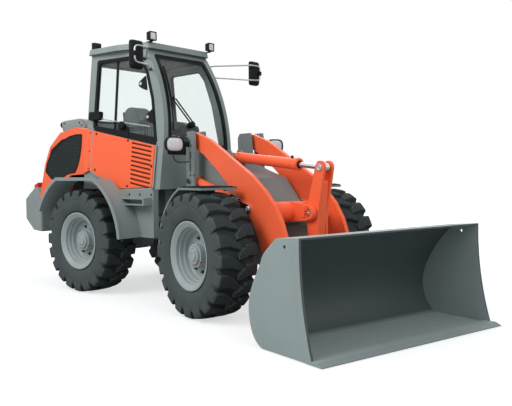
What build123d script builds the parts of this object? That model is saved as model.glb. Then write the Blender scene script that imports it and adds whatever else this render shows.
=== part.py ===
import os
from math import atan2, cos, degrees, hypot, radians, sin, sqrt

from build123d import *

os.makedirs("parts", exist_ok=True)

# Driving dimensions in millimetres and degrees.
# X runs forward from the rear axle, Y to the machine's left, Z up from the ground.
wheelbase = 2100
pivot_x = 1050
steer_at_rest = -13.5

# Wheels and tyres
tyre_radius = 540
tyre_width = 370
tyre_centre_y = 685
bead_radius = 257
bead_y = 125
shoulder_radius = 470
ring_facets = 40
lug_height = 36
lug_root = 34
lug_half = 58
lug_reach = 75
lug_chamfer = 26
lugs_per_side = 20
rim_flange_radius = 298
rim_wall = 12
hub_radius = 104
hub_face_y = 104
hub_back_y = 125
disc_outer_y = 38
disc_inner_y = 18
spindle_radius = 55
spindle_end_y = 15
running_clearance = 0.4
seat_gap = 0.3

# Chassis plates
frame_plate = 25
rear_frame_half = 255
frame_bottom_z = 620
frame_top_z = 830
lug_thickness = 40
lug_gap = 2
upper_lug_z = 800
lower_lug_z = 470
pivot_pin_radius = 35

# Front frame and tower
inner_plate_y = 285
outer_plate_y = 420
tower_top_z = 1640
boom_pin = (1415, 1560)
boom_pin_radius = 30
lift_pin = (1420, 1165)
tilt_pin = (1602, 1393)

# Boom
arm_inner_y = 320
arm_outer_y = 360
cross_tube = (2500, 900)
cross_tube_radius = 90
lever_pin = (2780, 905)
bucket_pin = (2900, 250)
bucket_pin_radius = 28
lift_eye = (2300, 930)
arm_slot_gap = 5

# Lever and link
lever_top = (2875, 1280)
lever_bottom = (2800, 460)
lever_outer_y = 56
lever_inner_y = 34
link_pin = (3012, 420)
link_half = 26

# Cylinders
lift_barrel_radius = 42
lift_barrel_length = 600
tilt_barrel_radius = 49
tilt_barrel_length = 960
rod_radius = 24

# Steering cylinder
steer_base = (300, -345)
steer_eye = (1360, -370)
steer_z = 655
steer_radius = 38
steer_pin_radius = 20
cylinder_notch_z = 710
steer_eye_half = 24
ear_plate = 14
ear_gap = 4

# Bucket
bucket_half_width = 960
bucket_floor_z = 6
bucket_tip_x = 3894
bucket_side_plate = 20
bucket_sheet = 14
strip_width = 60
strip_step = 6
bucket_hole = (3520, 745)
bucket_hole_radius = 12
coupler_face_x = 3085

# Cab
cab_rear_x = -164
cab_front_x = 955
cab_floor_z = 1080
cab_wall = 55
cab_rear_half = 610
cab_front_half = 500
cab_ref_z = 1500
cab_lean = 5.1
cab_top_z = 2520
roof_height = 60
glass_thickness = 8
door_gap = 6
panel_thickness = 25

# Rear body
hood_half = 600
hood_front_x = -175
hood_sheet = 22
rear_end_x = -1467
hood_hinge = (-182, 1742)
hood_pin_radius = 6
hood_knuckle_y = 420
hood_rear_bottom = (-1083, 960)
hood_swing_gap = 12
fender_outer_y = 895

# The finished machine is moved so that the middle of its footprint is the origin
turn = radians(steer_at_rest)
tip_reach = bucket_tip_x - pivot_x
front_end_x = pivot_x + tip_reach * cos(turn) - bucket_half_width * sin(turn)
mirror_edge_y = 935
right_end_y = tip_reach * sin(turn) - bucket_half_width * cos(turn)
middle_x = (front_end_x + rear_end_x) / 2
middle_y = (right_end_y + mirror_edge_y) / 2
rear_place = Location((-middle_x, -middle_y, 0))
front_place = (
    Location((pivot_x - middle_x, -middle_y, 0))
    * Location((0, 0, 0), (0, 0, steer_at_rest))
    * Location((-pivot_x, 0, 0))
)


def save(piece, name, place):
    """Move a finished piece to its place on the machine and write it."""
    piece.part.label = name
    export_step(piece.part.moved(place), f"parts/{name}.step")


def slab(points, y_a, y_b, mode=Mode.ADD, radius=0):
    """Extrude an outline of (x, z) points from one Y to another."""
    with BuildSketch(Plane.XZ.offset(-max(y_a, y_b))) as outline:
        with BuildLine():
            Polyline(*points, close=True)
        make_face()
        if radius:
            fillet(outline.vertices(), radius)
    extrude(outline.sketch, amount=abs(y_a - y_b), mode=mode)


def disc(centre, radius, y_a, y_b, mode=Mode.ADD):
    """Extrude a circle about (x, z) from one Y to another."""
    with BuildSketch(Plane.XZ.offset(-max(y_a, y_b))) as outline:
        with Locations(centre):
            Circle(radius)
    extrude(outline.sketch, amount=abs(y_a - y_b), mode=mode)


def block(x_a, x_b, y_a, y_b, z_a, z_b, mode=Mode.ADD):
    """Add or cut a box given by its limits."""
    with BuildSketch(Plane.XY.offset(z_a)) as outline:
        with Locations(((x_a + x_b) / 2, (y_a + y_b) / 2)):
            Rectangle(abs(x_b - x_a), abs(y_b - y_a))
    extrude(outline.sketch, amount=z_b - z_a, mode=mode)


def strap(a, b, radius_a, radius_b, y_a, y_b, mode=Mode.ADD):
    """Extrude the hull of two circles about (x, z) points a and b."""
    with BuildSketch(Plane.XZ.offset(-max(y_a, y_b))) as outline:
        with Locations(a):
            Circle(radius_a)
        with Locations(b):
            Circle(radius_b)
        make_hull()
    extrude(outline.sketch, amount=abs(y_a - y_b), mode=mode)


def ring_polygon(y, radius):
    """Polygon of the tyre's ring about the wheel's axis at one distance from its middle."""
    with BuildSketch(Plane((0, y, 0), x_dir=(1, 0, 0), z_dir=(0, 1, 0))) as section:
        RegularPolygon(radius, ring_facets)
    return section.sketch


def make_tyre():
    """Tyre about the Y axis, its ring fused with slanted lugs on both halves."""
    half = tyre_width / 2
    tread_radius = tyre_radius - lug_height
    crown = Plane((0, 0, sqrt(tyre_radius**2 - lug_reach**2)), x_dir=(1, 0, 0), z_dir=(0, 0, 1))
    with BuildPart() as lug:
        with BuildSketch(crown):
            with BuildLine():
                Polyline(
                    (-lug_half, half - 5),
                    (lug_half, half - 5),
                    (lug_half - 8, half * 0.38),
                    (lug_reach, 2),
                    (lug_reach - 50, 2),
                    (-lug_half + 18, half * 0.38),
                    close=True,
                )
            make_face()
        extrude(amount=-lug_height - lug_root)
        chamfer(lug.edges().group_by(Axis.Z)[-1].sort_by(Axis.Y)[-1], lug_chamfer)
    opposite = lug.part.mirror(Plane.XZ)
    with BuildPart() as ring:
        outline = [(half, shoulder_radius - 60), (half - 6, shoulder_radius), (half - 28, tread_radius)]
        sections = [ring_polygon(-y, radius) for y, radius in outline]
        sections += [ring_polygon(y, radius) for y, radius in reversed(outline)]
        loft(sections, ruled=True)
    with BuildPart() as hollow:
        outline = [
            (bead_y, bead_radius + 4),
            (half - 35, rim_flange_radius + 5),
            (half + 1, shoulder_radius - 80),
        ]
        loft([ring_polygon(y, radius) for y, radius in outline], ruled=True)
    with BuildPart() as tyre:
        add(ring.part)
        add(hollow.part, mode=Mode.SUBTRACT)
        add(hollow.part.mirror(Plane.XZ), mode=Mode.SUBTRACT)
        disc((0, 0), bead_radius, -half, half, Mode.SUBTRACT)
        pitch = 360 / lugs_per_side
        lugs = []
        for k in range(lugs_per_side):
            lugs.append(lug.part.rotate(Axis.Y, k * pitch))
            lugs.append(opposite.rotate(Axis.Y, (k + 0.5) * pitch))
        add(lugs)
    return tyre.part


def make_rim():
    """Rim about the Y axis, stepped towards its disc, with its hub facing +Y."""
    half = tyre_width / 2
    seat = bead_radius - running_clearance
    edge = half - 15
    with BuildPart() as rim:
        with BuildSketch(Plane((0, 0, 0), x_dir=(0, 1, 0), z_dir=(1, 0, 0))):
            with BuildLine():
                Polyline(
                    (-edge, rim_flange_radius),
                    (-edge + rim_wall, rim_flange_radius),
                    (-bead_y - 8, seat),
                    (bead_y + 8, seat),
                    (edge - rim_wall, rim_flange_radius),
                    (edge, rim_flange_radius),
                    (edge, rim_flange_radius - rim_wall),
                    (edge - 26, seat - rim_wall),
                    (edge - 52, seat - rim_wall - 4),
                    (edge - 56, seat - 26),
                    (edge - 88, seat - 32),
                    (edge - 92, seat - 46),
                    (disc_outer_y + 6, seat - 54),
                    (disc_outer_y, seat - 62),
                    (disc_outer_y, hub_radius - 1),
                    (disc_inner_y, hub_radius - 1),
                    (disc_inner_y, seat - 50),
                    (-bead_y, seat - rim_wall),
                    (-edge, rim_flange_radius - rim_wall),
                    close=True,
                )
            make_face()
        revolve(axis=Axis.Y)
        disc((0, 0), hub_radius, -hub_back_y, hub_face_y)
        disc((0, 0), hub_radius - 22, hub_face_y, hub_face_y + 14)
        disc((0, 0), spindle_radius + running_clearance, -hub_back_y, spindle_end_y + 1, Mode.SUBTRACT)
    return rim.part


def axle(label, axle_x, place):
    """A rigid axle: middle housing, arms, end flanges and the spindles in the hubs."""
    axis = Axis((axle_x, 0, tyre_radius), (0, 1, 0))
    flange_y = tyre_centre_y - hub_back_y - running_clearance
    with BuildPart() as housing:
        with BuildSketch(Plane((axle_x, 0, tyre_radius), x_dir=(0, 1, 0), z_dir=(1, 0, 0))):
            with BuildLine():
                Polyline(
                    (0, 0),
                    (0, 150),
                    (80, 150),
                    (170, 75),
                    (flange_y - 30, 75),
                    (flange_y - 30, 98),
                    (flange_y, 98),
                    (flange_y, spindle_radius),
                    (tyre_centre_y + spindle_end_y, spindle_radius),
                    (tyre_centre_y + spindle_end_y, 0),
                    close=True,
                )
            make_face()
        revolve(axis=axis)
        mirror(about=Plane.XZ)
        for side in (-1, 1):
            block(
                axle_x - 90,
                axle_x + 90,
                side * (rear_frame_half - frame_plate - 20),
                side * (rear_frame_half + 45),
                tyre_radius,
                frame_bottom_z,
            )
    save(housing, f"{label}_axle", place)


# Four wheels and two axles
wheels = (
    ("rear_right", 0, -1, rear_place),
    ("rear_left", 0, 1, rear_place),
    ("front_right", wheelbase, -1, front_place),
    ("front_left", wheelbase, 1, front_place),
)
tyre_shape = make_tyre()
rim_shape = make_rim()
for label, axle_x, side, place in wheels:
    centre = place * Location((axle_x, side * tyre_centre_y, tyre_radius))
    for kind, shape in (("tyre", tyre_shape), ("rim", rim_shape)):
        turned = shape if side > 0 else shape.mirror(Plane.XZ)
        turned.label = f"{kind}_{label}"
        export_step(turned.moved(centre), f"parts/{kind}_{label}.step")
axle("rear", 0, rear_place)
axle("front", wheelbase, front_place)

# Rear frame: two long plates, cross plates and the lugs with their upright pins
with BuildPart() as rear_frame:
    for side in (-1, 1):
        slab(
            [
                (-1130, frame_bottom_z),
                (-1130, frame_top_z),
                (780, frame_top_z),
                (780, cylinder_notch_z),
                (430, cylinder_notch_z),
                (380, frame_bottom_z),
            ],
            side * rear_frame_half,
            side * (rear_frame_half - frame_plate),
        )
    inside = rear_frame_half - frame_plate
    block(-1130, -1105, -inside, inside, frame_bottom_z, frame_top_z)
    block(-200, -175, -inside, inside, frame_bottom_z + 80, frame_top_z)
    block(755, 780, -rear_frame_half, rear_frame_half, cylinder_notch_z, frame_top_z + 10)
    block(755, 780, -200, 200, lower_lug_z, cylinder_notch_z)
    for lug_z in (upper_lug_z, lower_lug_z):
        with BuildSketch(Plane.XY.offset(lug_z)) as lug_plan:
            with Locations((pivot_x, 0)):
                Circle(85)
            with Locations((780, 0)):
                Rectangle(20, 300)
            make_hull()
        extrude(lug_plan.sketch, amount=lug_thickness)
        with BuildSketch(Plane.XY.offset(lug_z - 34)) as pin_plan:
            with Locations((pivot_x, 0)):
                Circle(pivot_pin_radius)
        extrude(pin_plan.sketch, amount=lug_thickness + 68)
    for side in (-1, 1):
        block(600, 800, side * 120, side * 145, lower_lug_z, upper_lug_z + lug_thickness)
        block(-150, -60, side * 175, side * 265, frame_top_z, cab_floor_z)
        block(640, 740, side * 175, side * 290, frame_top_z, cab_floor_z)
    for z in (steer_z - steer_eye_half - ear_plate - seat_gap, steer_z + steer_eye_half + seat_gap):
        block(262, 335, -rear_frame_half, -395, z, z + ear_plate)
    with BuildSketch(Plane.XY.offset(steer_z - steer_eye_half - ear_plate)) as pin_plan:
        with Locations(steer_base):
            Circle(steer_pin_radius)
    extrude(pin_plan.sketch, amount=2 * (steer_eye_half + ear_plate))
save(rear_frame, "rear_frame", rear_place)

# Counterweight under the hood's rear end
with BuildPart() as counterweight:
    slab(
        [(-1130, 560), (-1290, 575), (rear_end_x, 720), (rear_end_x, 930), (-1240, 1085), (-1130, 1085)],
        -560,
        560,
    )
    fillet(counterweight.edges().filter_by(Axis.Z), 25)
    hood_swing = hypot(hood_hinge[0] - hood_rear_bottom[0], hood_hinge[1] - hood_rear_bottom[1])
    disc(hood_hinge, hood_swing + hood_swing_gap, -hood_half, hood_half, Mode.SUBTRACT)
save(counterweight, "counterweight", rear_place)

# Tail lights on the counterweight's slope
with BuildPart() as tail_lights:
    for side in (-1, 1):
        slab([(-1240, 1000), (-1240, 1140), (-1320, 1110), (-1320, 1000)], side * 340, side * 520)
    add(counterweight.part, mode=Mode.SUBTRACT)
save(tail_lights, "tail_lights", rear_place)

# Engine as one plain block between the frame plates
with BuildPart() as engine:
    engine_half = rear_frame_half - frame_plate - seat_gap
    block(-950, -200, -engine_half, engine_half, 700, 1150)
save(engine, "engine_block", rear_place)

# Hood: a hollow shell that lifts about its front top edge
hood_outline = [
    (hood_front_x, 1725),
    (-364, 1752),
    (-650, 1704),
    (-853, 1552),
    (-963, 1347),
    (-1034, 1114),
    hood_rear_bottom,
    (-760, 960),
    (-640, 1130),
    (-458, 1225),
    (hood_front_x, 1240),
]
hood_inside = [
    (hood_front_x + 10, 1700),
    (-364, 1727),
    (-640, 1680),
    (-833, 1540),
    (-940, 1340),
    (-1010, 1110),
    (-1060, 900),
    (hood_front_x + 10, 900),
]
rear_grille_half = 430
rear_fins = 6
grille_backing = [(-833, 1540), (-940, 1340), (-1010, 1110), (-1004, 1110), (-934, 1340), (-827, 1540)]
with BuildPart() as hood:
    slab(hood_outline, -hood_half, hood_half)
    slab(hood_inside, -hood_half + hood_sheet, hood_half - hood_sheet, Mode.SUBTRACT)
    grille_outline = [(-238, 1660), (-383, 1290), (-700, 1240), (-940, 1270), (-834, 1520), (-613, 1630)]
    for side in (-1, 1):
        slab(grille_outline, side * (hood_half - hood_sheet - 5), side * (hood_half + 5), Mode.SUBTRACT)
    block(-1100, -800, -rear_grille_half, rear_grille_half, 1150, 1490, Mode.SUBTRACT)
    for y in (-hood_knuckle_y, hood_knuckle_y):
        disc(hood_hinge, 12, y - 30, y + 30)
        block(hood_hinge[0] - 10, hood_hinge[0] + 6, y - 30, y + 30, 1715, hood_hinge[1] - 4)
        disc(hood_hinge, hood_pin_radius + running_clearance, y - 31, y + 31, Mode.SUBTRACT)
save(hood, "engine_hood", rear_place)

with BuildPart() as grilles:
    for side in (-1, 1):
        slab(grille_outline, side * (hood_half - hood_sheet), side * (hood_half - 4))
    with BuildPart(mode=Mode.PRIVATE) as fins:
        back = [(x + 6, z) for x, z in hood_outline]
        slab(back, -rear_grille_half, rear_grille_half)
        slab(hood_inside, -rear_grille_half, rear_grille_half, Mode.SUBTRACT)
        for k in range(rear_fins):
            low = 1162 + k * 56
            block(-1100, -700, -rear_grille_half + 20, rear_grille_half - 20, low, low + 22, Mode.SUBTRACT)
        block(-1100, -800, -rear_grille_half, rear_grille_half, 1150, 1490, Mode.INTERSECT)
        slab(grille_backing, -rear_grille_half, rear_grille_half)
        block(-1100, -800, -rear_grille_half, rear_grille_half, 1150, 1490, Mode.INTERSECT)
    add(fins.part)
save(grilles, "hood_grilles", rear_place)

# Exhaust duct on top of the hood with its outlet
with BuildPart() as exhaust:
    slab([(-500, 1690), (-515, 1790), (-600, 1880), (-960, 1865), (-960, 1790), (-860, 1520)], -370, -230)
    slab(hood_outline, -400, -200, Mode.SUBTRACT)
    block(-1030, -955, -340, -260, 1800, 1850)
save(exhaust, "exhaust_cover", rear_place)

# Cab: a hollow volume with leaning sides and a curved front
yaw = degrees(atan2(cab_rear_half - cab_front_half, cab_front_x - cab_rear_x))


def cab_side(inset):
    """Plane of the cab's right side, its x forward and its y up, moved inwards by inset."""
    along = Vector(cos(radians(yaw)), sin(radians(yaw)), 0)
    up = Vector(0, sin(radians(cab_lean)), cos(radians(cab_lean)))
    outward = along.cross(up) * -1
    if outward.Y > 0:
        outward = outward * -1
    side = Plane((cab_rear_x, -cab_rear_half, cab_ref_z), x_dir=along, z_dir=outward)
    return side.offset(-inset)


def cab_profile(inset):
    """Side view of the cab volume, moved inwards by inset."""
    with BuildSketch(Plane.XZ.offset(-800)) as profile:
        with BuildLine():
            sill = Line((cab_rear_x, cab_floor_z), (cab_front_x - 20, cab_floor_z))
            nose = Line(sill @ 1, (cab_front_x, cab_ref_z))
            screen = ThreePointArc(nose @ 1, (880, 2060), (640, cab_top_z))
            top = Line(screen @ 1, (cab_rear_x + 20, cab_top_z))
            Line(top @ 1, sill @ 0)
        make_face()
        if inset:
            offset(amount=-inset, mode=Mode.REPLACE)
    return profile.sketch


def cab_volume(inset):
    """Solid of the cab, moved inwards by inset."""
    with BuildPart(mode=Mode.PRIVATE) as volume:
        extrude(cab_profile(inset), amount=1600)
        split(bisect_by=cab_side(inset), keep=Keep.BOTTOM)
        mirrored = cab_side(inset)
        left = Plane(
            (mirrored.origin.X, -mirrored.origin.Y, mirrored.origin.Z),
            x_dir=(-mirrored.x_dir.X, mirrored.x_dir.Y, 0),
            z_dir=(mirrored.z_dir.X, -mirrored.z_dir.Y, mirrored.z_dir.Z),
        )
        split(bisect_by=left, keep=Keep.BOTTOM)
    return volume.part


def side_cut(points, depth_out, depth_in, radius):
    """Prism through the right cab wall from an outline in the side plane."""
    with BuildPart(mode=Mode.PRIVATE) as cut:
        with BuildSketch(cab_side(-depth_out)) as outline:
            with BuildLine():
                Polyline(*points, close=True)
            make_face()
            fillet(outline.vertices(), radius)
        extrude(outline.sketch, amount=-(depth_out + depth_in))
    return cut.part


# Outlines in the side plane: distance forward of the rear corner, height over the reference
window_outline = [(115, 230), (1030, 60), (960, 500), (860, 800), (740, 950), (135, 950)]
door_outline = [
    (130, -235),
    (480, -235),
    (760, -410),
    (1005, -410),
    (1030, 60),
    (960, 500),
    (860, 800),
    (740, 950),
    (130, 950),
]

with BuildPart() as cab_frame:
    add(cab_volume(0))
    add(cab_volume(cab_wall), mode=Mode.SUBTRACT)
    add(side_cut(window_outline, 40, 120, 25), mode=Mode.SUBTRACT)
    add(side_cut(door_outline, 40, 120, 25).mirror(Plane.XZ), mode=Mode.SUBTRACT)
    front_half = cab_front_half - cab_wall - 10
    with BuildSketch(Plane.YZ.offset(400)) as screen_hole:
        with BuildLine():
            Polyline(
                (-front_half, 1440),
                (front_half, 1440),
                (front_half - 80, 2455),
                (-front_half + 80, 2455),
                close=True,
            )
        make_face()
        fillet(screen_hole.vertices(), 40)
    extrude(screen_hole.sketch, amount=800, mode=Mode.SUBTRACT)
    with BuildSketch(Plane.YZ.offset(-300)) as rear_hole:
        with BuildLine():
            Polyline((-500, 1790), (500, 1790), (450, 2440), (-450, 2440), close=True)
        make_face()
        fillet(rear_hole.vertices(), 40)
    extrude(rear_hole.sketch, amount=250, mode=Mode.SUBTRACT)

with BuildPart() as glass_sheet:
    add(cab_volume(18))
    add(cab_volume(18 + glass_thickness), mode=Mode.SUBTRACT)

with BuildPart() as windshield:
    extrude(offset(screen_hole.sketch, amount=-1), amount=800)
    add(glass_sheet.part, mode=Mode.INTERSECT)
save(windshield, "windshield", rear_place)

with BuildPart() as rear_window:
    extrude(offset(rear_hole.sketch, amount=-1), amount=250)
    add(glass_sheet.part, mode=Mode.INTERSECT)
save(rear_window, "rear_window", rear_place)

with BuildPart() as side_window:
    add(side_cut(window_outline, -18, 26, 25))
save(side_window, "side_window", rear_place)

# Cab roof with its overhang at the front
with BuildPart() as cab_roof:
    with BuildSketch(Plane.XY.offset(cab_top_z)) as roof_plan:
        with BuildLine():
            Polyline(
                (cab_rear_x - 10, -560),
                (300, -540),
                (700, -440),
                (700, 440),
                (300, 540),
                (cab_rear_x - 10, 560),
                close=True,
            )
        make_face()
        fillet(roof_plan.vertices(), 50)
    extrude(amount=roof_height, taper=12)
save(cab_roof, "cab_roof", rear_place)

# Left door: a frame in the side plane, its glass and its hinges
door_hinge_s = 60
door_hinge_out = 22
door_frame_width = 55
door_thickness = 40
hinge_radius = 12
hinge_length = 70
hinge_heights = (-160, 800)


def side_ring(points, inset, depth_out, depth_in):
    """Prism of a side outline moved inwards by inset, from one depth in the wall to another."""
    with BuildPart(mode=Mode.PRIVATE) as ring:
        with BuildSketch(cab_side(depth_out)):
            with BuildLine():
                Polyline(*points, close=True)
            make_face()
            fillet(vertices(), 25)
            if inset:
                offset(amount=-inset, mode=Mode.REPLACE)
        extrude(amount=-(depth_in - depth_out))
    return ring.part


def knuckle(height, reach):
    """Upright hinge knuckle outside the side plane with an arm along the wall to its carrier."""
    wall = cab_side(0)
    foot = wall.from_local_coords((door_hinge_s, height, door_hinge_out))
    with BuildPart(mode=Mode.PRIVATE) as hinge:
        with BuildSketch(Plane(foot, x_dir=wall.x_dir, z_dir=wall.y_dir)):
            Circle(hinge_radius)
            with Locations((reach / 2, door_hinge_out - 7)):
                Rectangle(abs(reach), 14)
            with Locations((0, door_hinge_out / 2 - 4)):
                Rectangle(2 * hinge_radius, door_hinge_out - 8)
        extrude(amount=hinge_length)
    return hinge.part


with BuildPart() as door_right:
    add(side_ring(door_outline, door_gap, 0, door_thickness))
    add(side_ring(door_outline, door_gap + door_frame_width, -5, 80), mode=Mode.SUBTRACT)
    for height in hinge_heights:
        add(knuckle(height, 100))
with BuildPart() as door:
    add(door_right.part.mirror(Plane.XZ))
save(door, "door_left", rear_place)

with BuildPart() as door_glass:
    glass = side_ring(door_outline, door_gap + door_frame_width + 0.5, 16, 16 + glass_thickness)
    add(glass.mirror(Plane.XZ))
save(door_glass, "door_glass", rear_place)

with BuildPart() as cab_shell:
    add(cab_frame.part)
    for height in hinge_heights:
        add(knuckle(height - hinge_length - running_clearance, -55).mirror(Plane.XZ))
    for y in (-hood_knuckle_y, hood_knuckle_y):
        disc(hood_hinge, hood_pin_radius, y - 46, y + 46)
        for side in (-1, 1):
            block(hood_hinge[0] - 8, cab_rear_x + 10, y + side * 34, y + side * 46, 1732, 1752)
save(cab_shell, "cab_frame", rear_place)

# Side panels below the windows, outside the cab wall
panel_outline = [(128, 200), (1030, 15), (1015, -405), (560, -420), (110, -230)]
cowl_outline = [(2, 222), (118, 203), (100, -228), (2, -262)]
louvre_count = 10
louvre_pitch = 50
with BuildPart() as panel_right:
    add(side_ring(panel_outline, 0, -panel_thickness, -seat_gap))
    with BuildSketch(cab_side(-panel_thickness - 5)):
        with Locations((830, -165)):
            with GridLocations(1, louvre_pitch * 0.9, 1, louvre_count):
                SlotOverall(260, 20)
    extrude(amount=-16, mode=Mode.SUBTRACT)
    add(side_ring(cowl_outline, 0, -panel_thickness, -seat_gap))
save(panel_right, "side_panel", rear_place)

# Rear fenders: an arch over each rear wheel with an inner wall
fender_radius = 722
fender_top_z = 1190
fender_front_z = 600
fender_rear_z = 830
fender_sheet = 20
fender_panel_gap = 38
fender_lip = 16
step_inner_y = 545
step_outer_y = 612
step_front_x = 920
ledge_outer_y = 720
ledge_z = 925
fender_inner_y = 500
for side, name in ((-1, "right"), (1, "left")):
    with BuildPart() as fender:
        bands = (
            (0, fender_sheet, fender_inner_y, fender_outer_y),
            (fender_lip, fender_lip, fender_outer_y - fender_sheet, fender_outer_y),
        )
        for raised, sheet, y_a, y_b in bands:
            with BuildSketch(Plane.XZ.offset(-max(side * y_a, side * y_b))) as arch:
                with Locations((0, tyre_radius)):
                    Circle(fender_radius + raised)
                with Locations((0, fender_top_z + raised + fender_radius)):
                    Rectangle(3 * fender_radius, 2 * fender_radius, mode=Mode.SUBTRACT)
                offset(amount=-sheet, mode=Mode.SUBTRACT)
                with Locations((0, fender_front_z - fender_radius)):
                    Rectangle(3 * fender_radius, 2 * fender_radius, mode=Mode.SUBTRACT)
                with Locations((-fender_radius, fender_rear_z - fender_radius)):
                    Rectangle(2 * fender_radius, 2 * fender_radius, mode=Mode.SUBTRACT)
            extrude(arch.sketch, amount=y_b - y_a)
        cut = side * (hood_half + 1)
        block(-900, hood_front_x + 1, side * (fender_inner_y - 5), cut, 900, 1300, Mode.SUBTRACT)
        cab_cut = side * (cab_rear_half + panel_thickness + fender_panel_gap)
        block(hood_front_x, 900, side * (fender_inner_y - 5), cab_cut, cab_floor_z - 1, 1300, Mode.SUBTRACT)
    save(fender, f"rear_fender_{name}", rear_place)

    # Side box between the wheels with its ledge to step on
    with BuildPart() as step:
        box_top = cab_floor_z - seat_gap
        block(690, step_front_x, side * step_inner_y, side * step_outer_y, fender_front_z, box_top)
        slab(
            [(180, box_top), (step_front_x, box_top), (step_front_x, fender_front_z), (500, fender_front_z)],
            side * (step_outer_y - fender_sheet),
            side * step_outer_y,
        )
        block(520, 900, side * step_outer_y, side * ledge_outer_y, ledge_z, ledge_z + 75)
        pocket = side * (step_outer_y + 25)
        block(540, 880, pocket, side * (ledge_outer_y + 5), ledge_z + 15, ledge_z + 60, Mode.SUBTRACT)
        block(600, 700, side * rear_frame_half, side * step_outer_y, 740, 790)
        arch_end = side * (fender_outer_y + 5)
        disc((0, tyre_radius), fender_radius + seat_gap, side * 290, arch_end, Mode.SUBTRACT)
    save(step, f"step_{name}", rear_place)

# Seat on its pedestal, with padded base and back
seat_z = 1450
with BuildPart() as seat_base:
    block(120, 420, -160, 160, cab_floor_z + cab_wall, seat_z - 130)
save(seat_base, "seat_base", rear_place)
with BuildPart() as seat:
    block(60, 540, -240, 240, seat_z - 130, seat_z)
    slab([(60, seat_z), (160, seat_z), (20, 2010), (-60, 2010)], -230, 230)
save(seat, "seat", rear_place)

# Steering column with its wheel
with BuildPart() as column:
    slab([(760, 1135), (880, 1135), (760, 1640), (690, 1620)], -60, 60)
    with BuildSketch(Plane((712, 0, 1650), x_dir=(0, 1, 0), z_dir=(-0.4, 0, 1))):
        Circle(185)
        Circle(160, mode=Mode.SUBTRACT)
        Rectangle(330, 30)
    extrude(amount=24)
    with BuildSketch(Plane((712, 0, 1650), x_dir=(0, 1, 0), z_dir=(-0.4, 0, 1))):
        Circle(32)
    extrude(amount=-40)
save(column, "steering_column", rear_place)

with BuildPart() as console:
    block(160, 620, -420, -270, cab_floor_z + cab_wall, 1620)
    disc((500, 1790), 20, -360, -330)
    block(490, 510, -355, -335, 1620, 1790)
save(console, "control_console", rear_place)

# Front frame: inner plates with the tower, outer tower plates, fork plates and pins
with BuildPart() as front_frame:
    for side in (-1, 1):
        inner = side * inner_plate_y
        slab(
            [
                (1270, 620),
                (1270, 1180),
                (1265, tower_top_z - 40),
                (1300, tower_top_z),
                (1470, tower_top_z),
                (1500, 1440),
                (1560, 1330),
                (1750, 1265),
                (2020, 1190),
                (2260, 950),
                (2390, 760),
                (2390, 620),
            ],
            inner,
            inner - side * frame_plate,
        )
        outer = side * outer_plate_y
        slab(
            [
                (1365, 1050),
                (1365, tower_top_z - 20),
                (1385, tower_top_z),
                (1490, tower_top_z),
                (1510, 1560),
                (1510, 1050),
            ],
            outer,
            outer - side * frame_plate,
        )
        block(1300, 1510, inner, outer, 1050, 1075)
        with BuildSketch(Plane.XZ.offset(-max(outer + side, outer - side * (frame_plate + 1)))) as slot:
            with Locations((1437, 1400), (1437, 1290)):
                SlotOverall(80, 26, rotation=90)
        extrude(slot.sketch, amount=frame_plate + 2, mode=Mode.SUBTRACT)
        disc(boom_pin, boom_pin_radius, inner, outer + side * 20)
        disc(lift_pin, 25, inner, outer + side * 15)
    half = inner_plate_y - frame_plate
    block(1270, 1295, -half, half, lower_lug_z - 30, 1180)
    block(1270, 1400, -half, half, lower_lug_z - 30, lower_lug_z - lug_gap)
    block(2365, 2390, -half, half, 620, 760)
    slab([(1560, 1330), (1750, 1265), (1740, 1240), (1550, 1305)], -half, half)
    slab([(1750, 1265), (2020, 1190), (2010, 1165), (1740, 1240)], -half, half)
    slab([(2020, 1190), (2260, 950), (2240, 935), (2010, 1165)], -half, half)
    tilt_gap = 56
    for side in (-1, 1):
        slab([(1480, 1300), (1540, 1460), (1600, 1460), (1660, 1400), (1660, 1290)], side * tilt_gap, side * (tilt_gap + 22))
    disc(tilt_pin, 24, -tilt_gap, tilt_gap)
    fork = [
        lower_lug_z - lug_gap - 28,
        lower_lug_z + lug_thickness + lug_gap,
        upper_lug_z - lug_gap - 28,
        upper_lug_z + lug_thickness + lug_gap,
    ]
    for z in fork:
        with BuildSketch(Plane.XY.offset(z)) as fork_plan:
            with Locations((pivot_x, 0)):
                Circle(90)
            with Locations((1280, 0)):
                Rectangle(20, 400)
            make_hull()
            with Locations((pivot_x, 0)):
                Circle(pivot_pin_radius + running_clearance, mode=Mode.SUBTRACT)
        extrude(fork_plan.sketch, amount=28)
    for z in (steer_z - steer_eye_half - ear_gap - ear_plate, steer_z + steer_eye_half + ear_gap):
        block(1300, 1430, -inner_plate_y, -430, z, z + ear_plate)
save(front_frame, "front_frame", front_place)

# Front fenders: a rear quarter arch and a flat top over each front wheel
front_fender_radius = 620
for side, name in ((-1, "right"), (1, "left")):
    with BuildPart() as fender:
        with BuildSketch(Plane.XZ.offset(-max(side * 430, side * 800))):
            with BuildLine():
                arch = CenterArc((wheelbase, tyre_radius), front_fender_radius, 112, 65)
                inner = CenterArc((wheelbase, tyre_radius), front_fender_radius - fender_sheet, 112, 65)
                Line(arch @ 0, inner @ 0)
                Line(arch @ 1, inner @ 1)
            make_face()
        extrude(amount=370)
        with BuildSketch(Plane.XZ.offset(-max(side * 430, side * 445))):
            with BuildLine():
                arch = CenterArc((wheelbase, tyre_radius), front_fender_radius, 112, 65)
                inner = CenterArc((wheelbase, tyre_radius), front_fender_radius - 150, 112, 65)
                Line(arch @ 0, inner @ 0)
                Line(arch @ 1, inner @ 1)
            make_face()
        extrude(amount=15)
        top = tyre_radius + front_fender_radius * sin(radians(112))
        start = wheelbase + front_fender_radius * cos(radians(112)) - 20
        block(start, wheelbase + 130, side * 430, side * 800, top - fender_sheet, top)
        block(wheelbase - 480, wheelbase - 400, side * inner_plate_y, side * 432, 760, 820)
    save(fender, f"front_fender_{name}", front_place)

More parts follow.
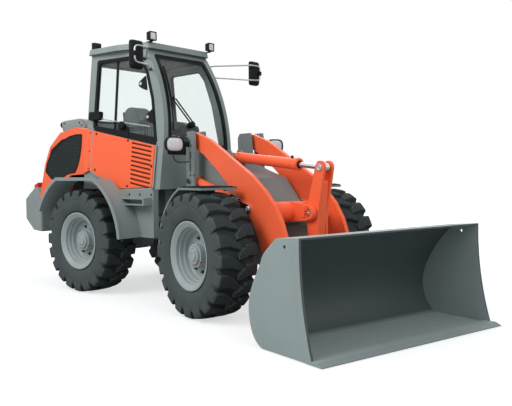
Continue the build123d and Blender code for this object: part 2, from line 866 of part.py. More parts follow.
# Headlights on brackets beside the tower
with BuildPart() as headlights:
    for side in (-1, 1):
        with BuildSketch(Plane.YZ.offset(1375)):
            with Locations((side * 580, 1515)):
                RectangleRounded(170, 130, 35)
        extrude(amount=90)
        block(1400, 1430, side * outer_plate_y, side * 500, 1500, 1530)
save(headlights, "headlights", front_place)

# Boom: two arms, the cross tube, the lever brackets and the bucket pins
arm_outline = [
    (1440, 1628),
    (1690, 1550),
    (1870, 1458),
    (2340, 1215),
    (2520, 1090),
    (2650, 970),
    (2740, 840),
    (2800, 700),
    (2955, 290),
    (2940, 205),
    (2860, 190),
    (2640, 320),
    (2500, 530),
    (2400, 740),
    (2320, 850),
    (2200, 985),
    (2020, 1110),
    (1810, 1265),
    (1590, 1410),
    (1400, 1495),
    (1350, 1550),
    (1370, 1610),
]
with BuildPart() as boom:
    for side in (-1, 1):
        slab(arm_outline, side * arm_inner_y, side * arm_outer_y)
        disc(bucket_pin, bucket_pin_radius, side * 285, side * 395)
        strap(cross_tube, lever_pin, 90, 65, side * 64, side * 92)
        disc(boom_pin, boom_pin_radius + running_clearance, side * 300, side * 380, Mode.SUBTRACT)
        slab([(2680, 865), (2790, 865), (2790, 962), (2680, 962)], side * 92, side * 100, radius=24)
    disc(cross_tube, cross_tube_radius, -arm_inner_y, arm_inner_y)
    disc(lever_pin, 28, -64, 64)
save(boom, "boom", front_place)

# Lever between the tilt cylinder and the link
with BuildPart() as lever:
    for side in (-1, 1):
        strap(lever_top, lever_pin, 55, 75, side * lever_inner_y, side * lever_outer_y)
        strap(lever_pin, lever_bottom, 75, 45, side * lever_inner_y, side * lever_outer_y)
    strap((2860, 1150), (2810, 700), 25, 25, -lever_inner_y, lever_inner_y)
    disc(lever_pin, 28 + running_clearance, -60, 60, Mode.SUBTRACT)
save(lever, "tilt_lever", front_place)

# Link from the lever to the coupler
with BuildPart() as link:
    strap(lever_bottom, link_pin, 38, 40, -link_half, link_half)
    disc(link_pin, 22 + running_clearance, -30, 30, Mode.SUBTRACT)
save(link, "tilt_link", front_place)

# Quick coupler that carries the bucket
with BuildPart() as coupler:
    block(coupler_face_x - 25, coupler_face_x, -430, 430, 160, 620)
    for side in (-1, 1):
        for y_a, y_b in ((285, 314), (366, 395)):
            slab(
                [(2850, 190), (2840, 270), (2900, 320), (3070, 600), (3070, 170), (2940, 185)],
                side * y_a,
                side * y_b,
            )
            disc(bucket_pin, bucket_pin_radius + running_clearance, side * 280, side * 400, Mode.SUBTRACT)
        slab([(2970, 380), (2970, 460), (3065, 500), (3065, 340)], side * 34, side * 56)
    for side in (-1, 1):
        arm_slot = (side * (arm_inner_y - arm_slot_gap), side * (arm_outer_y + arm_slot_gap))
        block(coupler_face_x - 30, coupler_face_x + 5, *arm_slot, 480, 625, Mode.SUBTRACT)
    block(coupler_face_x - 30, coupler_face_x + 5, -75, 75, 530, 625, Mode.SUBTRACT)
    disc(link_pin, 22, -34, 34)
save(coupler, "quick_coupler", front_place)

# Bucket: curved shell, side plates, cutting edge and the ribs to the coupler
floor = bucket_floor_z
with BuildPart() as bucket:
    with BuildSketch(Plane.XZ.offset(-bucket_half_width)) as shell:
        with BuildLine():
            base = Line((bucket_tip_x, floor), (3260, floor))
            back = Spline(
                [(3260, floor), (3118, 180), (3118, 360), (3250, 610), (3430, 790 + floor)],
                tangents=((-1, 0.35), (1, 0.75)),
            )
            lip = Line(back @ 1, (3676, 808 + floor))
            Line(lip @ 1, (3676, 794 + floor))
            Line((3676, 794 + floor), (3440, 776 + floor))
            Spline(
                [(3440, 776 + floor), (3262, 600), (3132, 358), (3132, 186), (3264, floor + 14)],
                tangents=((-1, -0.75), (1, -0.35)),
            )
            Line((3264, floor + 14), (3740, floor + 14))
            Line((3740, floor + 14), (3740, floor + 24))
            Line((3740, floor + 24), (3840, floor + 24))
            Line((3840, floor + 24), (bucket_tip_x, floor + 4))
            Line((bucket_tip_x, floor + 4), (bucket_tip_x, floor))
        make_face()
    extrude(amount=2 * bucket_half_width)
    with BuildSketch(Plane.XZ.offset(-bucket_half_width)) as cheek:
        with BuildLine():
            base = Line((3800, floor), (3260, floor))
            back = Spline(
                [(3260, floor), (3118, 180), (3118, 360), (3250, 610), (3430, 790 + floor)],
                tangents=((-1, 0.35), (1, 0.75)),
            )
            lip = Line(back @ 1, (3676, 808 + floor))
            front = ThreePointArc(lip @ 1, (3700, 430), (3800, floor))
        make_face()
    for shift in (0, bucket_side_plate - 2 * bucket_half_width):
        extrude(cheek.sketch.moved(Location((0, shift, 0))), amount=bucket_side_plate)
    for side in (-1, 1):
        face = side * bucket_half_width
        with BuildSketch(Plane.XZ.offset(-max(face, face - side * strip_step))) as behind:
            add(cheek.sketch.moved(Location((-strip_width, bucket_half_width, 0))))
            with Locations((3100, 400)):
                Rectangle(500, 900)
        extrude(behind.sketch, amount=strip_step, mode=Mode.SUBTRACT)
    disc(bucket_hole, bucket_hole_radius, -bucket_half_width - 1, bucket_half_width + 1, Mode.SUBTRACT)
    with BuildPart(mode=Mode.PRIVATE) as ribs:
        ear = [(coupler_face_x, 170), (coupler_face_x, 600), (3300, 640), (3300, 100)]
        for side in (-1, 1):
            for y in (250, 400):
                slab(ear, side * y, side * (y + 20))
        extrude(cheek.sketch, amount=2 * bucket_half_width, mode=Mode.SUBTRACT)
    add(ribs.part)
save(bucket, "bucket", front_place)


def barrel(centre, end, radius, length, y, eye, place, name):
    """Cylinder barrel from its pin towards the rod's end, with a drilled eye and a hollow bore."""
    slope = atan2(end[1] - centre[1], end[0] - centre[0])
    direction = (cos(slope), 0, sin(slope))
    start = Vector(centre[0], y, centre[1]) + Vector(*direction) * (eye + 10)
    with BuildPart() as tube:
        with BuildSketch(Plane(start, x_dir=(0, 1, 0), z_dir=direction)):
            Circle(radius)
        extrude(amount=length - eye - 10)
        disc(centre, eye + 18, y - radius * 0.75, y + radius * 0.75)
        with BuildSketch(Plane(start + Vector(*direction) * 40, x_dir=(0, 1, 0), z_dir=direction)):
            Circle(rod_radius + running_clearance)
        extrude(amount=length, mode=Mode.SUBTRACT)
        disc(centre, eye + running_clearance, y - radius, y + radius, Mode.SUBTRACT)
    save(tube, name, place)


def rod(centre, end, start_at, y, eye, half, place, name, fork=None):
    """Cylinder rod from inside its barrel to an eye or a fork at its end."""
    slope = atan2(end[1] - centre[1], end[0] - centre[0])
    direction = Vector(cos(slope), 0, sin(slope))
    reach = hypot(end[0] - centre[0], end[1] - centre[1])
    with BuildPart() as bar:
        start = Vector(centre[0], y, centre[1]) + direction * start_at
        stop = reach - start_at - (fork[0] if fork else 0)
        with BuildSketch(Plane(start, x_dir=(0, 1, 0), z_dir=direction)):
            Circle(rod_radius)
        extrude(amount=stop)
        if fork:
            depth, gap, wall = fork
            near = Vector(centre[0], y, centre[1]) + direction * (reach - depth)
            with BuildSketch(Plane(near, x_dir=(0, 1, 0), z_dir=direction)):
                Rectangle(2 * (gap + wall), 2 * rod_radius)
            extrude(amount=20)
            for sign in (-1, 1):
                strap(
                    (near.X + 10 * direction.X, near.Z + 10 * direction.Z),
                    end,
                    28,
                    36,
                    y + sign * gap,
                    y + sign * (gap + wall),
                )
        else:
            disc(end, eye, y - half, y + half)
    save(bar, name, place)


arm_mid = (arm_inner_y + arm_outer_y) / 2
for side, name in ((-1, "right"), (1, "left")):
    y = side * arm_mid
    barrel(lift_pin, lift_eye, lift_barrel_radius, lift_barrel_length, y, 25, front_place, f"lift_barrel_{name}")
    rod(lift_pin, lift_eye, 500, y, 36, 20, front_place, f"lift_rod_{name}", (240, 22, 12))
barrel(tilt_pin, lever_top, tilt_barrel_radius, tilt_barrel_length, 0, 24, front_place, "tilt_barrel")
rod(tilt_pin, lever_top, 700, 0, 40, link_half, front_place, "tilt_rod")

# Steering cylinder beside the pivot
bend = radians(steer_at_rest)
eye_x = pivot_x + (steer_eye[0] - pivot_x) * cos(bend) - steer_eye[1] * sin(bend)
eye_y = (steer_eye[0] - pivot_x) * sin(bend) + steer_eye[1] * cos(bend)
run = hypot(eye_x - steer_base[0], eye_y - steer_base[1])
aim = Vector((eye_x - steer_base[0]) / run, (eye_y - steer_base[1]) / run, 0)
base = Vector(steer_base[0], steer_base[1], steer_z)
with BuildPart() as steer_barrel:
    with BuildSketch(Plane(base + aim * 60, x_dir=(0, 0, 1), z_dir=aim)):
        Circle(steer_radius)
    extrude(amount=540)
    with BuildSketch(Plane(base, x_dir=(0, 0, 1), z_dir=aim)):
        Rectangle(44, 44)
    extrude(amount=62)
    with BuildSketch(Plane.XY.offset(steer_z - 24)):
        with Locations(steer_base):
            Circle(36)
    extrude(amount=48)
    with BuildSketch(Plane(base + aim * 70, x_dir=(0, 0, 1), z_dir=aim)):
        Circle(20 + running_clearance)
    extrude(amount=600, mode=Mode.SUBTRACT)
    with BuildSketch(Plane.XY.offset(steer_z - 50)):
        with Locations(steer_base):
            Circle(20 + running_clearance)
    extrude(amount=100, mode=Mode.SUBTRACT)
save(steer_barrel, "steering_barrel", rear_place)
with BuildPart() as steer_rod:
    with BuildSketch(Plane(base + aim * 450, x_dir=(0, 0, 1), z_dir=aim)):
        Circle(20)
    extrude(amount=run - 450)
    with BuildSketch(Plane.XY.offset(steer_z - 22)):
        with Locations((eye_x, eye_y)):
            Circle(34)
    extrude(amount=44)
save(steer_rod, "steering_rod", rear_place)

# Mirrors on arms from the cab's front posts
mirror_z = cab_top_z - 160
mirror_feet = ((905, cab_top_z - cab_ref_z - 220), (818, cab_top_z - cab_ref_z - 105))
with BuildPart() as mirror_right:
    with BuildSketch(Plane((980, -mirror_edge_y + 75, mirror_z), x_dir=(0, 1, 0), z_dir=(1, 0, 0))):
        RectangleRounded(150, 270, 30)
    extrude(amount=45)
    for s, height in mirror_feet:
        with BuildSketch(cab_side(-seat_gap)):
            with Locations((s, height)):
                Circle(13)
        extrude(amount=14)
        foot = cab_side(-8).from_local_coords((s, height, 0))
        with BuildLine() as arm:
            Line(foot, (985, -mirror_edge_y + 75, foot.Z + 20))
        with BuildSketch(Plane(arm.line @ 0, z_dir=arm.line % 0)):
            Circle(9)
        sweep(path=arm.line)
with BuildPart() as mirrors:
    add(mirror_right.part)
    add(mirror_right.part.mirror(Plane.XZ))
save(mirrors, "mirrors", rear_place)

# Work lights on the roof
with BuildPart() as lights:
    for x, side, facing in ((680, -1, 1), (680, 1, 1), (-210, -1, -1), (-210, 1, -1)):
        foot_z = cab_top_z + roof_height
        block(x, x + 70, side * 380, side * 470, foot_z + 5, foot_z + 95)
        block(x + 35 - facing * 60, x + 35, side * 410, side * 440, foot_z, foot_z + 10)
save(lights, "work_lights", rear_place)
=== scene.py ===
import math

import bmesh
import bpy
from mathutils import Matrix, Vector


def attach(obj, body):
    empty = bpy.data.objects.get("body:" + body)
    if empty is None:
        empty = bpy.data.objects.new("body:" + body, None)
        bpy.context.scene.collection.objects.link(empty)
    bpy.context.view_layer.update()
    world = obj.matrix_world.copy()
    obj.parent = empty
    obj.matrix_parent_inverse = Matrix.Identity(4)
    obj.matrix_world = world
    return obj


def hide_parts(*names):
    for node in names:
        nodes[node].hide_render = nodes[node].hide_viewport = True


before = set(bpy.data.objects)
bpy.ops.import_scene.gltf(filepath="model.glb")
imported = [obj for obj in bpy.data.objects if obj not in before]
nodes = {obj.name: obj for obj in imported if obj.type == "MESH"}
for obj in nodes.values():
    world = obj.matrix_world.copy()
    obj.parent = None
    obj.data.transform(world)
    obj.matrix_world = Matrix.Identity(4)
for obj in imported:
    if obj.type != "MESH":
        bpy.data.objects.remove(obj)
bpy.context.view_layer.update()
scene = bpy.context.scene

# Places on the machine, in metres: x forward from the rear axle, y left, z up
PIVOT_X = 1.05
REST_TURN = math.radians(-13.5)
TIP_REACH = 3.894 - PIVOT_X
BUCKET_HALF = 0.96
REAR_END_X = -1.467
MIRROR_EDGE_Y = 0.935
FRONT_END_X = PIVOT_X + TIP_REACH * math.cos(REST_TURN) - BUCKET_HALF * math.sin(REST_TURN)
RIGHT_END_Y = TIP_REACH * math.sin(REST_TURN) - BUCKET_HALF * math.cos(REST_TURN)
MIDDLE = Vector(((FRONT_END_X + REAR_END_X) / 2, (RIGHT_END_Y + MIRROR_EDGE_Y) / 2, 0))
REAR = Matrix.Translation(-MIDDLE)
FRONT = (
    Matrix.Translation(Vector((PIVOT_X, 0, 0)) - MIDDLE)
    @ Matrix.Rotation(REST_TURN, 4, "Z")
    @ Matrix.Translation(Vector((-PIVOT_X, 0, 0)))
)

REAR_BODIES = ("rear_body", "hood", "door")

TYRE_RADIUS = 0.54
TYRE_Y = 0.685
WHEELBASE = 2.1
LUGS = 20


# Materials
def shader(name):
    """A new node material, its tree and its main shader."""
    made = bpy.data.materials.new(name)
    made.use_nodes = True
    return made, made.node_tree, made.node_tree.nodes["Principled BSDF"]


def add_node(tree, kind, values=None, operation=None):
    """New node with its operation and input values set."""
    made = tree.nodes.new(kind)
    if operation:
        made.operation = operation
    for socket, value in (values or {}).items():
        made.inputs[socket].default_value = value
    return made


def noise(tree, scale, detail):
    """Noise over the object's own coordinates."""
    where = add_node(tree, "ShaderNodeTexCoord")
    tex = add_node(tree, "ShaderNodeTexNoise", {"Scale": scale, "Detail": detail})
    tree.links.new(where.outputs["Object"], tex.inputs["Vector"])
    return tex.outputs["Fac"]


def ramp(tree, value, stops):
    """Colour ramp driven by value."""
    node = tree.nodes.new("ShaderNodeValToRGB")
    node.color_ramp.elements[0].position, node.color_ramp.elements[0].color = stops[0]
    node.color_ramp.elements[1].position, node.color_ramp.elements[1].color = stops[-1]
    for place, colour in stops[1:-1]:
        node.color_ramp.elements.new(place).color = colour
    tree.links.new(value, node.inputs["Fac"])
    return node.outputs["Color"]


def tinted(colour, factor):
    return tuple(min(1.0, c * factor) for c in colour) + (1.0,)


def surface(
    name, colour, rough=0.45, metallic=0.0, spread=0.05, cloud=2.5, grain=900.0, bump=0.03, coat=0.0,
    specular=0.25, edge=0.004,
):
    """Painted, cast or moulded surface with soft colour clouds, a fine grain and softened edges."""
    made, tree, bsdf = shader(name)
    link = tree.links.new
    clouds = noise(tree, cloud, 5.0)
    colours = ramp(tree, clouds, [(0.3, tinted(colour, 1 - spread)), (0.7, tinted(colour, 1 + spread))])
    link(colours, bsdf.inputs["Base Color"])
    rough_noise = noise(tree, cloud * 9, 4.0)
    low, high = max(0.02, rough - 0.06), min(1.0, rough + 0.06)
    gloss = ramp(tree, rough_noise, [(0.35, (low, low, low, 1)), (0.65, (high, high, high, 1))])
    link(gloss, bsdf.inputs["Roughness"])
    relief = add_node(tree, "ShaderNodeBump", {"Strength": bump, "Distance": 0.002})
    link(noise(tree, grain, 2.0), relief.inputs["Height"])
    soft = add_node(tree, "ShaderNodeBevel", {"Radius": edge})
    soft.samples = 4
    link(soft.outputs["Normal"], relief.inputs["Normal"])
    link(relief.outputs["Normal"], bsdf.inputs["Normal"])
    bsdf.inputs["Metallic"].default_value = metallic
    bsdf.inputs["Specular IOR Level"].default_value = specular
    bsdf.inputs["Coat Weight"].default_value = coat
    bsdf.inputs["Coat Roughness"].default_value = 0.2
    return made


def window_glass():
    """Nearly clear glass with a faint green tint."""
    made, tree, bsdf = shader("window_glass")
    link = tree.links.new
    bsdf.inputs["Base Color"].default_value = (0.93, 0.98, 0.975, 1)
    bsdf.inputs["Roughness"].default_value = 0.03
    clear = add_node(tree, "ShaderNodeBsdfTransparent", {"Color": (0.97, 0.99, 0.985, 1)})
    mix = add_node(tree, "ShaderNodeMixShader")
    smear = noise(tree, 3.0, 3.0)
    share = ramp(tree, smear, [(0.2, (0.03, 0.03, 0.03, 1)), (0.8, (0.06, 0.06, 0.06, 1))])
    link(share, mix.inputs["Fac"])
    link(clear.outputs["BSDF"], mix.inputs[1])
    link(bsdf.outputs["BSDF"], mix.inputs[2])
    link(mix.outputs["Shader"], tree.nodes["Material Output"].inputs["Surface"])
    return made


ORANGE = surface(
    "orange_paint", (1.0, 0.15, 0.055), 0.4, spread=0.02, coat=0.06, specular=0.2, edge=0.008
)
FRAME_GREY = surface("frame_grey_paint", (0.2, 0.235, 0.232), 0.48)
CAB_GREY = surface("cab_grey_paint", (0.25, 0.29, 0.285), 0.42, coat=0.05)
BUCKET_GREY_AND_SHADE = surface("bucket_grey_paint_and_shade", (0.31, 0.365, 0.36), 0.46, spread=0.04)
RIM_GREY = surface("rim_paint", (0.33, 0.375, 0.375), 0.38, spread=0.04, coat=0.15)
RUBBER = surface("tyre_rubber", (0.062, 0.074, 0.076), 0.75, spread=0.12, cloud=5, grain=350, bump=0.15)
# Darker than the sidewall rubber: partly the tread's own darker tone, partly painted shade on the tread and
# in its grooves
TREAD_AND_SHADE = surface(
    "tread_rubber_and_shade", (0.026, 0.033, 0.035), 0.72, spread=0.15, cloud=6, grain=300, bump=0.2, specular=0.2
)
BLACK = surface(
    "black_plastic", (0.008, 0.01, 0.011), 0.55, spread=0.15, grain=1400, bump=0.08, specular=0.12
)
GRILLE = surface("grille_mesh", (0.02, 0.025, 0.026), 0.62, spread=0.1, grain=500, bump=0.25, specular=0.12)
DARK_TRIM = surface("dark_trim", (0.03, 0.037, 0.038), 0.55, spread=0.1, specular=0.15)
IRON = surface("engine_iron", (0.07, 0.075, 0.078), 0.6, metallic=0.4, spread=0.2, grain=500, bump=0.3)
CHROME = surface("rod_chrome", (0.72, 0.74, 0.75), 0.12, metallic=1.0, spread=0.02, bump=0.005)
SILVER = surface("silver_tube", (0.5, 0.53, 0.55), 0.3, metallic=0.6, spread=0.03)
CLOTH = surface("seat_cloth", (0.12, 0.14, 0.14), 0.85, spread=0.1, grain=1200, bump=0.35)
HEADLAMP = surface("headlamp_glass", (0.72, 0.76, 0.77), 0.1, spread=0.1, cloud=30, grain=160, bump=0.6)
# A lighter copy of the cab grey: painted highlight on the trim along the panel's edge
CAB_EDGE_HIGHLIGHT = surface("cab_edge_highlight", (0.36, 0.41, 0.405), 0.4, spread=0.03, coat=0.1)
# Dark orange for the cut faces of the louvre slots: painted shade inside the slots
LOUVRE_DARK = surface("louvre_shade", (0.16, 0.028, 0.016), 0.7, spread=0.1)
RED = surface("red_cap", (0.7, 0.03, 0.02), 0.45, spread=0.05)
LENS = surface("lamp_lens", (0.78, 0.8, 0.8), 0.12, spread=0.03, grain=140, bump=0.4)
GLASS = window_glass()


def paint_bucket_inside_shade(made, colour):
    """Painted shade where the bucket's surface faces forwards: its inside is darkened as if in shade, over
    the grey paint.
    """
    tree = made.node_tree
    base = tree.nodes["Principled BSDF"].inputs["Base Color"]
    clouds = base.links[0].from_socket
    link = tree.links.new
    forward = (math.cos(REST_TURN), math.sin(REST_TURN), 0)
    where = add_node(tree, "ShaderNodeTexCoord")
    facing = add_node(tree, "ShaderNodeVectorMath", {1: forward}, "DOT_PRODUCT")
    share = add_node(tree, "ShaderNodeMapRange", {"From Min": 0.2, "From Max": 0.6})
    blend = add_node(tree, "ShaderNodeMix", {7: colour})
    blend.data_type = "RGBA"
    link(where.outputs["Normal"], facing.inputs[0])
    link(facing.outputs["Value"], share.inputs["Value"])
    link(share.outputs["Result"], blend.inputs[0])
    link(clouds, blend.inputs[6])
    link(blend.outputs[2], base)


# Painted shade on the inside of the bucket
paint_bucket_inside_shade(BUCKET_GREY_AND_SHADE, (0.075, 0.092, 0.095, 1))


def dress(name, material):
    """Give a CAD node its material."""
    slots = nodes[name].data.materials
    slots.clear()
    slots.append(material)


for name in nodes:
    dress(name, FRAME_GREY)
NODES_OF_MATERIAL = (
    (ORANGE, "engine_hood side_panel boom tilt_lever tilt_link"),
    (ORANGE, "tilt_barrel lift_barrel_left lift_barrel_right"),
    (CAB_GREY, "cab_frame cab_roof door_left counterweight exhaust_cover"),
    (CAB_GREY, "rear_fender_left rear_fender_right step_left step_right"),
    (CHROME, "lift_rod_left lift_rod_right tilt_rod steering_rod"),
    (GLASS, "windshield rear_window side_window door_glass"),
    (BLACK, "mirrors steering_column control_console work_lights seat_base"),
    (BUCKET_GREY_AND_SHADE, "bucket"),
    (GRILLE, "hood_grilles"),
    (IRON, "engine_block"),
    (CLOTH, "seat"),
    (LENS, "headlights"),
    (RED, "tail_lights"),
)
for material, names in NODES_OF_MATERIAL:
    for name in names.split():
        dress(name, material)
for end in ("front", "rear"):
    for side in ("left", "right"):
        dress(f"tyre_{end}_{side}", RUBBER)
        dress(f"rim_{end}_{side}", RIM_GREY)


# Mesh helpers: everything is built in straight-frame metres and then placed
XZ = Matrix(((1, 0, 0, 0), (0, 0, -1, 0), (0, 1, 0, 0), (0, 0, 0, 1)))
YZ = Matrix(((0, 0, 1, 0), (1, 0, 0, 0), (0, 1, 0, 0), (0, 0, 0, 1)))
XY = Matrix.Identity(4)
MIRROR_Y = Matrix.Scale(-1, 4, (0, 1, 0))

# The cab's leaning right side: s forward from its rear corner, h up, out away from the cab
CAB_YAW = math.atan2(0.11, 1.119)
CAB_LEAN = math.radians(5.1)
ALONG = Vector((math.cos(CAB_YAW), math.sin(CAB_YAW), 0))
OUTWARD = ALONG.cross(Vector((0, math.sin(CAB_LEAN), math.cos(CAB_LEAN)))).normalized()
UPWARD = OUTWARD.cross(ALONG)
SIDE = Matrix.Translation((-0.164, -0.61, 1.5)) @ Matrix((ALONG, UPWARD, OUTWARD)).transposed().to_4x4()


def rounded(points, radius, closed=True, steps=5):
    """Outline or path with its corners turned into curves."""
    corners = [Vector(p) for p in points]
    made = []
    for k, corner in enumerate(corners):
        if not closed and k in (0, len(corners) - 1):
            made.append(corner)
            continue
        before = corners[k - 1] - corner
        after = corners[(k + 1) % len(corners)] - corner
        reach = min(radius, before.length * 0.45, after.length * 0.45)
        start = corner + before.normalized() * reach
        end = corner + after.normalized() * reach
        for step in range(steps + 1):
            t = step / steps
            made.append(start * (1 - t) ** 2 + corner * 2 * t * (1 - t) + end * t**2)
    return made


def widened(points, distance):
    """Outline moved outwards by a distance, corner for corner."""
    corners = [Vector(p) for p in points]
    area = sum(a.x * b.y - b.x * a.y for a, b in zip(corners, corners[1:] + corners[:1]))
    turn = 1 if area > 0 else -1
    made = []
    for k, corner in enumerate(corners):
        d1 = (corner - corners[k - 1]).normalized()
        d2 = (corners[(k + 1) % len(corners)] - corner).normalized()
        n1 = Vector((d1.y, -d1.x)) * turn
        n2 = Vector((d2.y, -d2.x)) * turn
        middle = (n1 + n2).normalized()
        made.append(corner + middle * (distance / max(0.3, middle.dot(n1))))
    return made


def box_outline(half_u, half_v, radius, centre=(0, 0)):
    """Rounded rectangle about a centre."""
    u, v = centre
    low_u, high_u, low_v, high_v = u - half_u, u + half_u, v - half_v, v + half_v
    return rounded([(low_u, low_v), (high_u, low_v), (high_u, high_v), (low_u, high_v)], radius)


def loft(mesh, sections, cap=True):
    """Skin between rows of points that all have the same count."""
    rows = [[mesh.verts.new(p) for p in row] for row in sections]
    count = len(rows[0])
    for low, high in zip(rows, rows[1:]):
        for k in range(count):
            j = (k + 1) % count
            mesh.faces.new((low[k], low[j], high[j], high[k]))
    if cap:
        mesh.faces.new(list(reversed(rows[0])))
        mesh.faces.new(rows[-1])
    return rows


def flat(points, height, place):
    return [place @ Vector((p[0], p[1], height)) for p in points]


def prism(mesh, points, low, high, place, rim=0.0):
    """Closed prism of an outline, with its top edge taken off by rim."""
    sections = [flat(points, low, place)]
    if rim:
        step = rim if high > low else -rim
        sections.append(flat(points, high - step, place))
        sections.append(flat(widened(points, -rim), high, place))
    else:
        sections.append(flat(points, high, place))
    loft(mesh, sections)


def band(mesh, outer, inner, low, high, place):
    """Closed frame between two outlines with the same count of points."""
    sections = [flat(outer, low, place), flat(outer, high, place)]
    sections += [flat(inner, high, place), flat(inner, low, place)]
    loft(mesh, sections + sections[:1], cap=False)
    bmesh.ops.remove_doubles(mesh, verts=mesh.verts, dist=1e-6)


def slab(mesh, points, y_a, y_b, rim=0.0):
    """Prism of an (x, z) outline from one y to another; its rim is on the outer side."""
    low, high = sorted((-y_a, -y_b), key=abs)
    prism(mesh, points, low, high, XZ, rim)


def block(mesh, lo, hi, radius=0.006):
    """Box with rounded upright edges and softened top."""
    centre = ((lo[0] + hi[0]) / 2, (lo[1] + hi[1]) / 2)
    outline = box_outline((hi[0] - lo[0]) / 2, (hi[1] - lo[1]) / 2, radius, centre)
    prism(mesh, outline, lo[2], hi[2], XY, min(radius, (hi[2] - lo[2]) / 3) * 0.5)


def toward(point, normal):
    """Frame at a point whose Z runs along the normal."""
    return Matrix.Translation(point) @ Vector(normal).to_track_quat("Z", "Y").to_matrix().to_4x4()


def lathe(mesh, profile, place, segments=32, closed=False):
    """Turned form from (height, radius) points about the Z axis of place."""
    sections = []
    for height, radius in profile:
        ring = []
        for k in range(segments):
            a = 2 * math.pi * k / segments
            ring.append(place @ Vector((radius * math.cos(a), radius * math.sin(a), height)))
        sections.append(ring)
    if closed:
        sections.append(sections[0])
    loft(mesh, sections, cap=not closed)
    if closed:
        bmesh.ops.remove_doubles(mesh, verts=mesh.verts, dist=1e-6)


def tube(mesh, path, radius, sides=12):
    """Round bar along a path."""
    points = [Vector(p) for p in path]
    normal = None
    sections = []
    for k, point in enumerate(points):
        ahead = points[min(k + 1, len(points) - 1)] - points[max(k - 1, 0)]
        along = ahead.normalized()
        if normal is None:
            normal = along.orthogonal().normalized()
        normal = (normal - along * normal.dot(along)).normalized()
        other = along.cross(normal)
        ring = []
        for j in range(sides):
            a = 2 * math.pi * j / sides
            ring.append(point + (normal * math.cos(a) + other * math.sin(a)) * radius)
        sections.append(ring)
    loft(mesh, sections)


def bent(mesh, path, bend, radius, sides=12):
    """Round bar along a path with its corners curved."""
    tube(mesh, rounded(path, bend, closed=False), radius, sides)


def bolt(mesh, point, normal, radius=0.009, height=0.007):
    """Washer and domed hexagonal head."""
    place = toward(point, normal)
    lathe(mesh, [(-0.004, radius * 1.35), (0.0015, radius * 1.35), (0.002, radius * 1.25)], place, 20)
    lathe(mesh, [(-0.002, radius), (height * 0.8, radius), (height, radius * 0.8)], place, 6)


def pin_head(mesh, point, normal, radius, height=0.012):
    """Round pin end with a chamfer, a groove and a grease nipple."""
    place = toward(point, normal)
    profile = [(-0.006, radius), (height * 0.7, radius), (height, radius * 0.88), (height, radius * 0.62)]
    profile += [(height * 0.8, radius * 0.56), (height * 0.8, radius * 0.22)]
    profile += [(height * 1.15, radius * 0.18)]
    profile += [(height * 1.5, radius * 0.12), (height * 1.6, radius * 0.05)]
    lathe(mesh, profile, place, 32)


def on_side(s, h, out=0.0):
    """Point on the cab's right side."""
    return SIDE @ Vector((s, h, out))


def piece(name, body, material, mesh, bevel=0.0, angle=38, place=None):
    """Turn a bmesh into a finished object that rides on a body, in that body's half of the machine."""
    mesh.transform(place or (REAR if body in REAR_BODIES else FRONT))
    bmesh.ops.recalc_face_normals(mesh, faces=mesh.faces)
    data = bpy.data.meshes.new(name)
    mesh.to_mesh(data)
    mesh.free()
    data.materials.append(material)
    data.shade_smooth()
    data.set_sharp_from_angle(angle=math.radians(angle))
    made = bpy.data.objects.new(name, data)
    scene.collection.objects.link(made)
    if bevel:
        edge = made.modifiers.new("edges", "BEVEL")
        edge.width, edge.segments = bevel, 2
        edge.limit_method = "ANGLE"
        edge.angle_limit = math.radians(40)
    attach(made, body)
    return made


def bake(target, angle):
    """Turn a piece's modifiers into its mesh."""
    graph = bpy.context.evaluated_depsgraph_get()
    graph.update()
    made = bpy.data.meshes.new_from_object(target.evaluated_get(graph))
    target.modifiers.clear()
    target.data = made
    made.shade_smooth()
    made.set_sharp_from_angle(angle=math.radians(angle))


# Tyres: a smooth carcass with blocks that wrap round the shoulder and meet in the middle
CARCASS = [
    (0.12, 0.262), (0.136, 0.272), (0.15, 0.303), (0.161, 0.309), (0.171, 0.318), (0.175, 0.327),
    (0.1755, 0.334),
    (0.178, 0.34), (0.1845, 0.365), (0.1875, 0.395), (0.188, 0.42), (0.186, 0.442), (0.181, 0.46),
    (0.172, 0.476), (0.158, 0.487), (0.135, 0.495), (0.1, 0.5), (0.05, 0.504), (0.0, 0.506),
]
# Distance from the middle, radius on top, place and radius at the foot, and both edges in radians
LUG_ROWS = [
    (0.1878, 0.438, 0.18, 0.436, -0.14, 0.146),
    (0.1892, 0.452, 0.178, 0.448, -0.132, 0.14),
    (0.189, 0.474, 0.172, 0.462, -0.116, 0.122),
    (0.1875, 0.496, 0.164, 0.474, -0.108, 0.112),
    (0.184, 0.513, 0.154, 0.482, -0.104, 0.106),
    (0.176, 0.525, 0.148, 0.486, -0.103, 0.105),
    (0.16, 0.5315, 0.142, 0.489, -0.102, 0.104),
    (0.127, 0.536, 0.12, 0.494, -0.098, 0.1),
    (0.09, 0.5385, 0.09, 0.497, -0.084, 0.096),
    (0.074, 0.539, 0.074, 0.498, -0.058, 0.112),
    (0.046, 0.5397, 0.046, 0.5, -0.028, 0.128),
    (0.006, 0.54, 0.006, 0.501, 0.04, 0.15),
    (-0.01, 0.54, -0.008, 0.501, 0.068, 0.15),
    (-0.015, 0.535, -0.012, 0.501, 0.078, 0.146),
]
LUG_COLUMNS = (0.0, 0.06, 0.3, 0.5, 0.7, 0.94, 1.0)
TREAD_RADIUS = 0.47
TREAD_HALF = 0.182


def wheel_point(y, radius, angle):
    return Vector((radius * math.sin(angle), y, radius * math.cos(angle)))


def lug(mesh, turn, side):
    """One tread block as a closed form sunk into the carcass."""
    sections = []
    for y, top, foot_y, foot, trail, lead in LUG_ROWS:
        row = [wheel_point(side * foot_y, foot, turn + trail - 0.016)]
        for share in LUG_COLUMNS:
            drop = 0.006 if share in (0.0, 1.0) else 0.0
            angle = trail + (lead - trail) * share
            row.append(wheel_point(side * (y - drop * (y > 0.18)), top - drop, turn + angle))
        row.append(wheel_point(side * foot_y, foot, turn + lead + 0.016))
        sections.append(row)
    loft(mesh, sections)


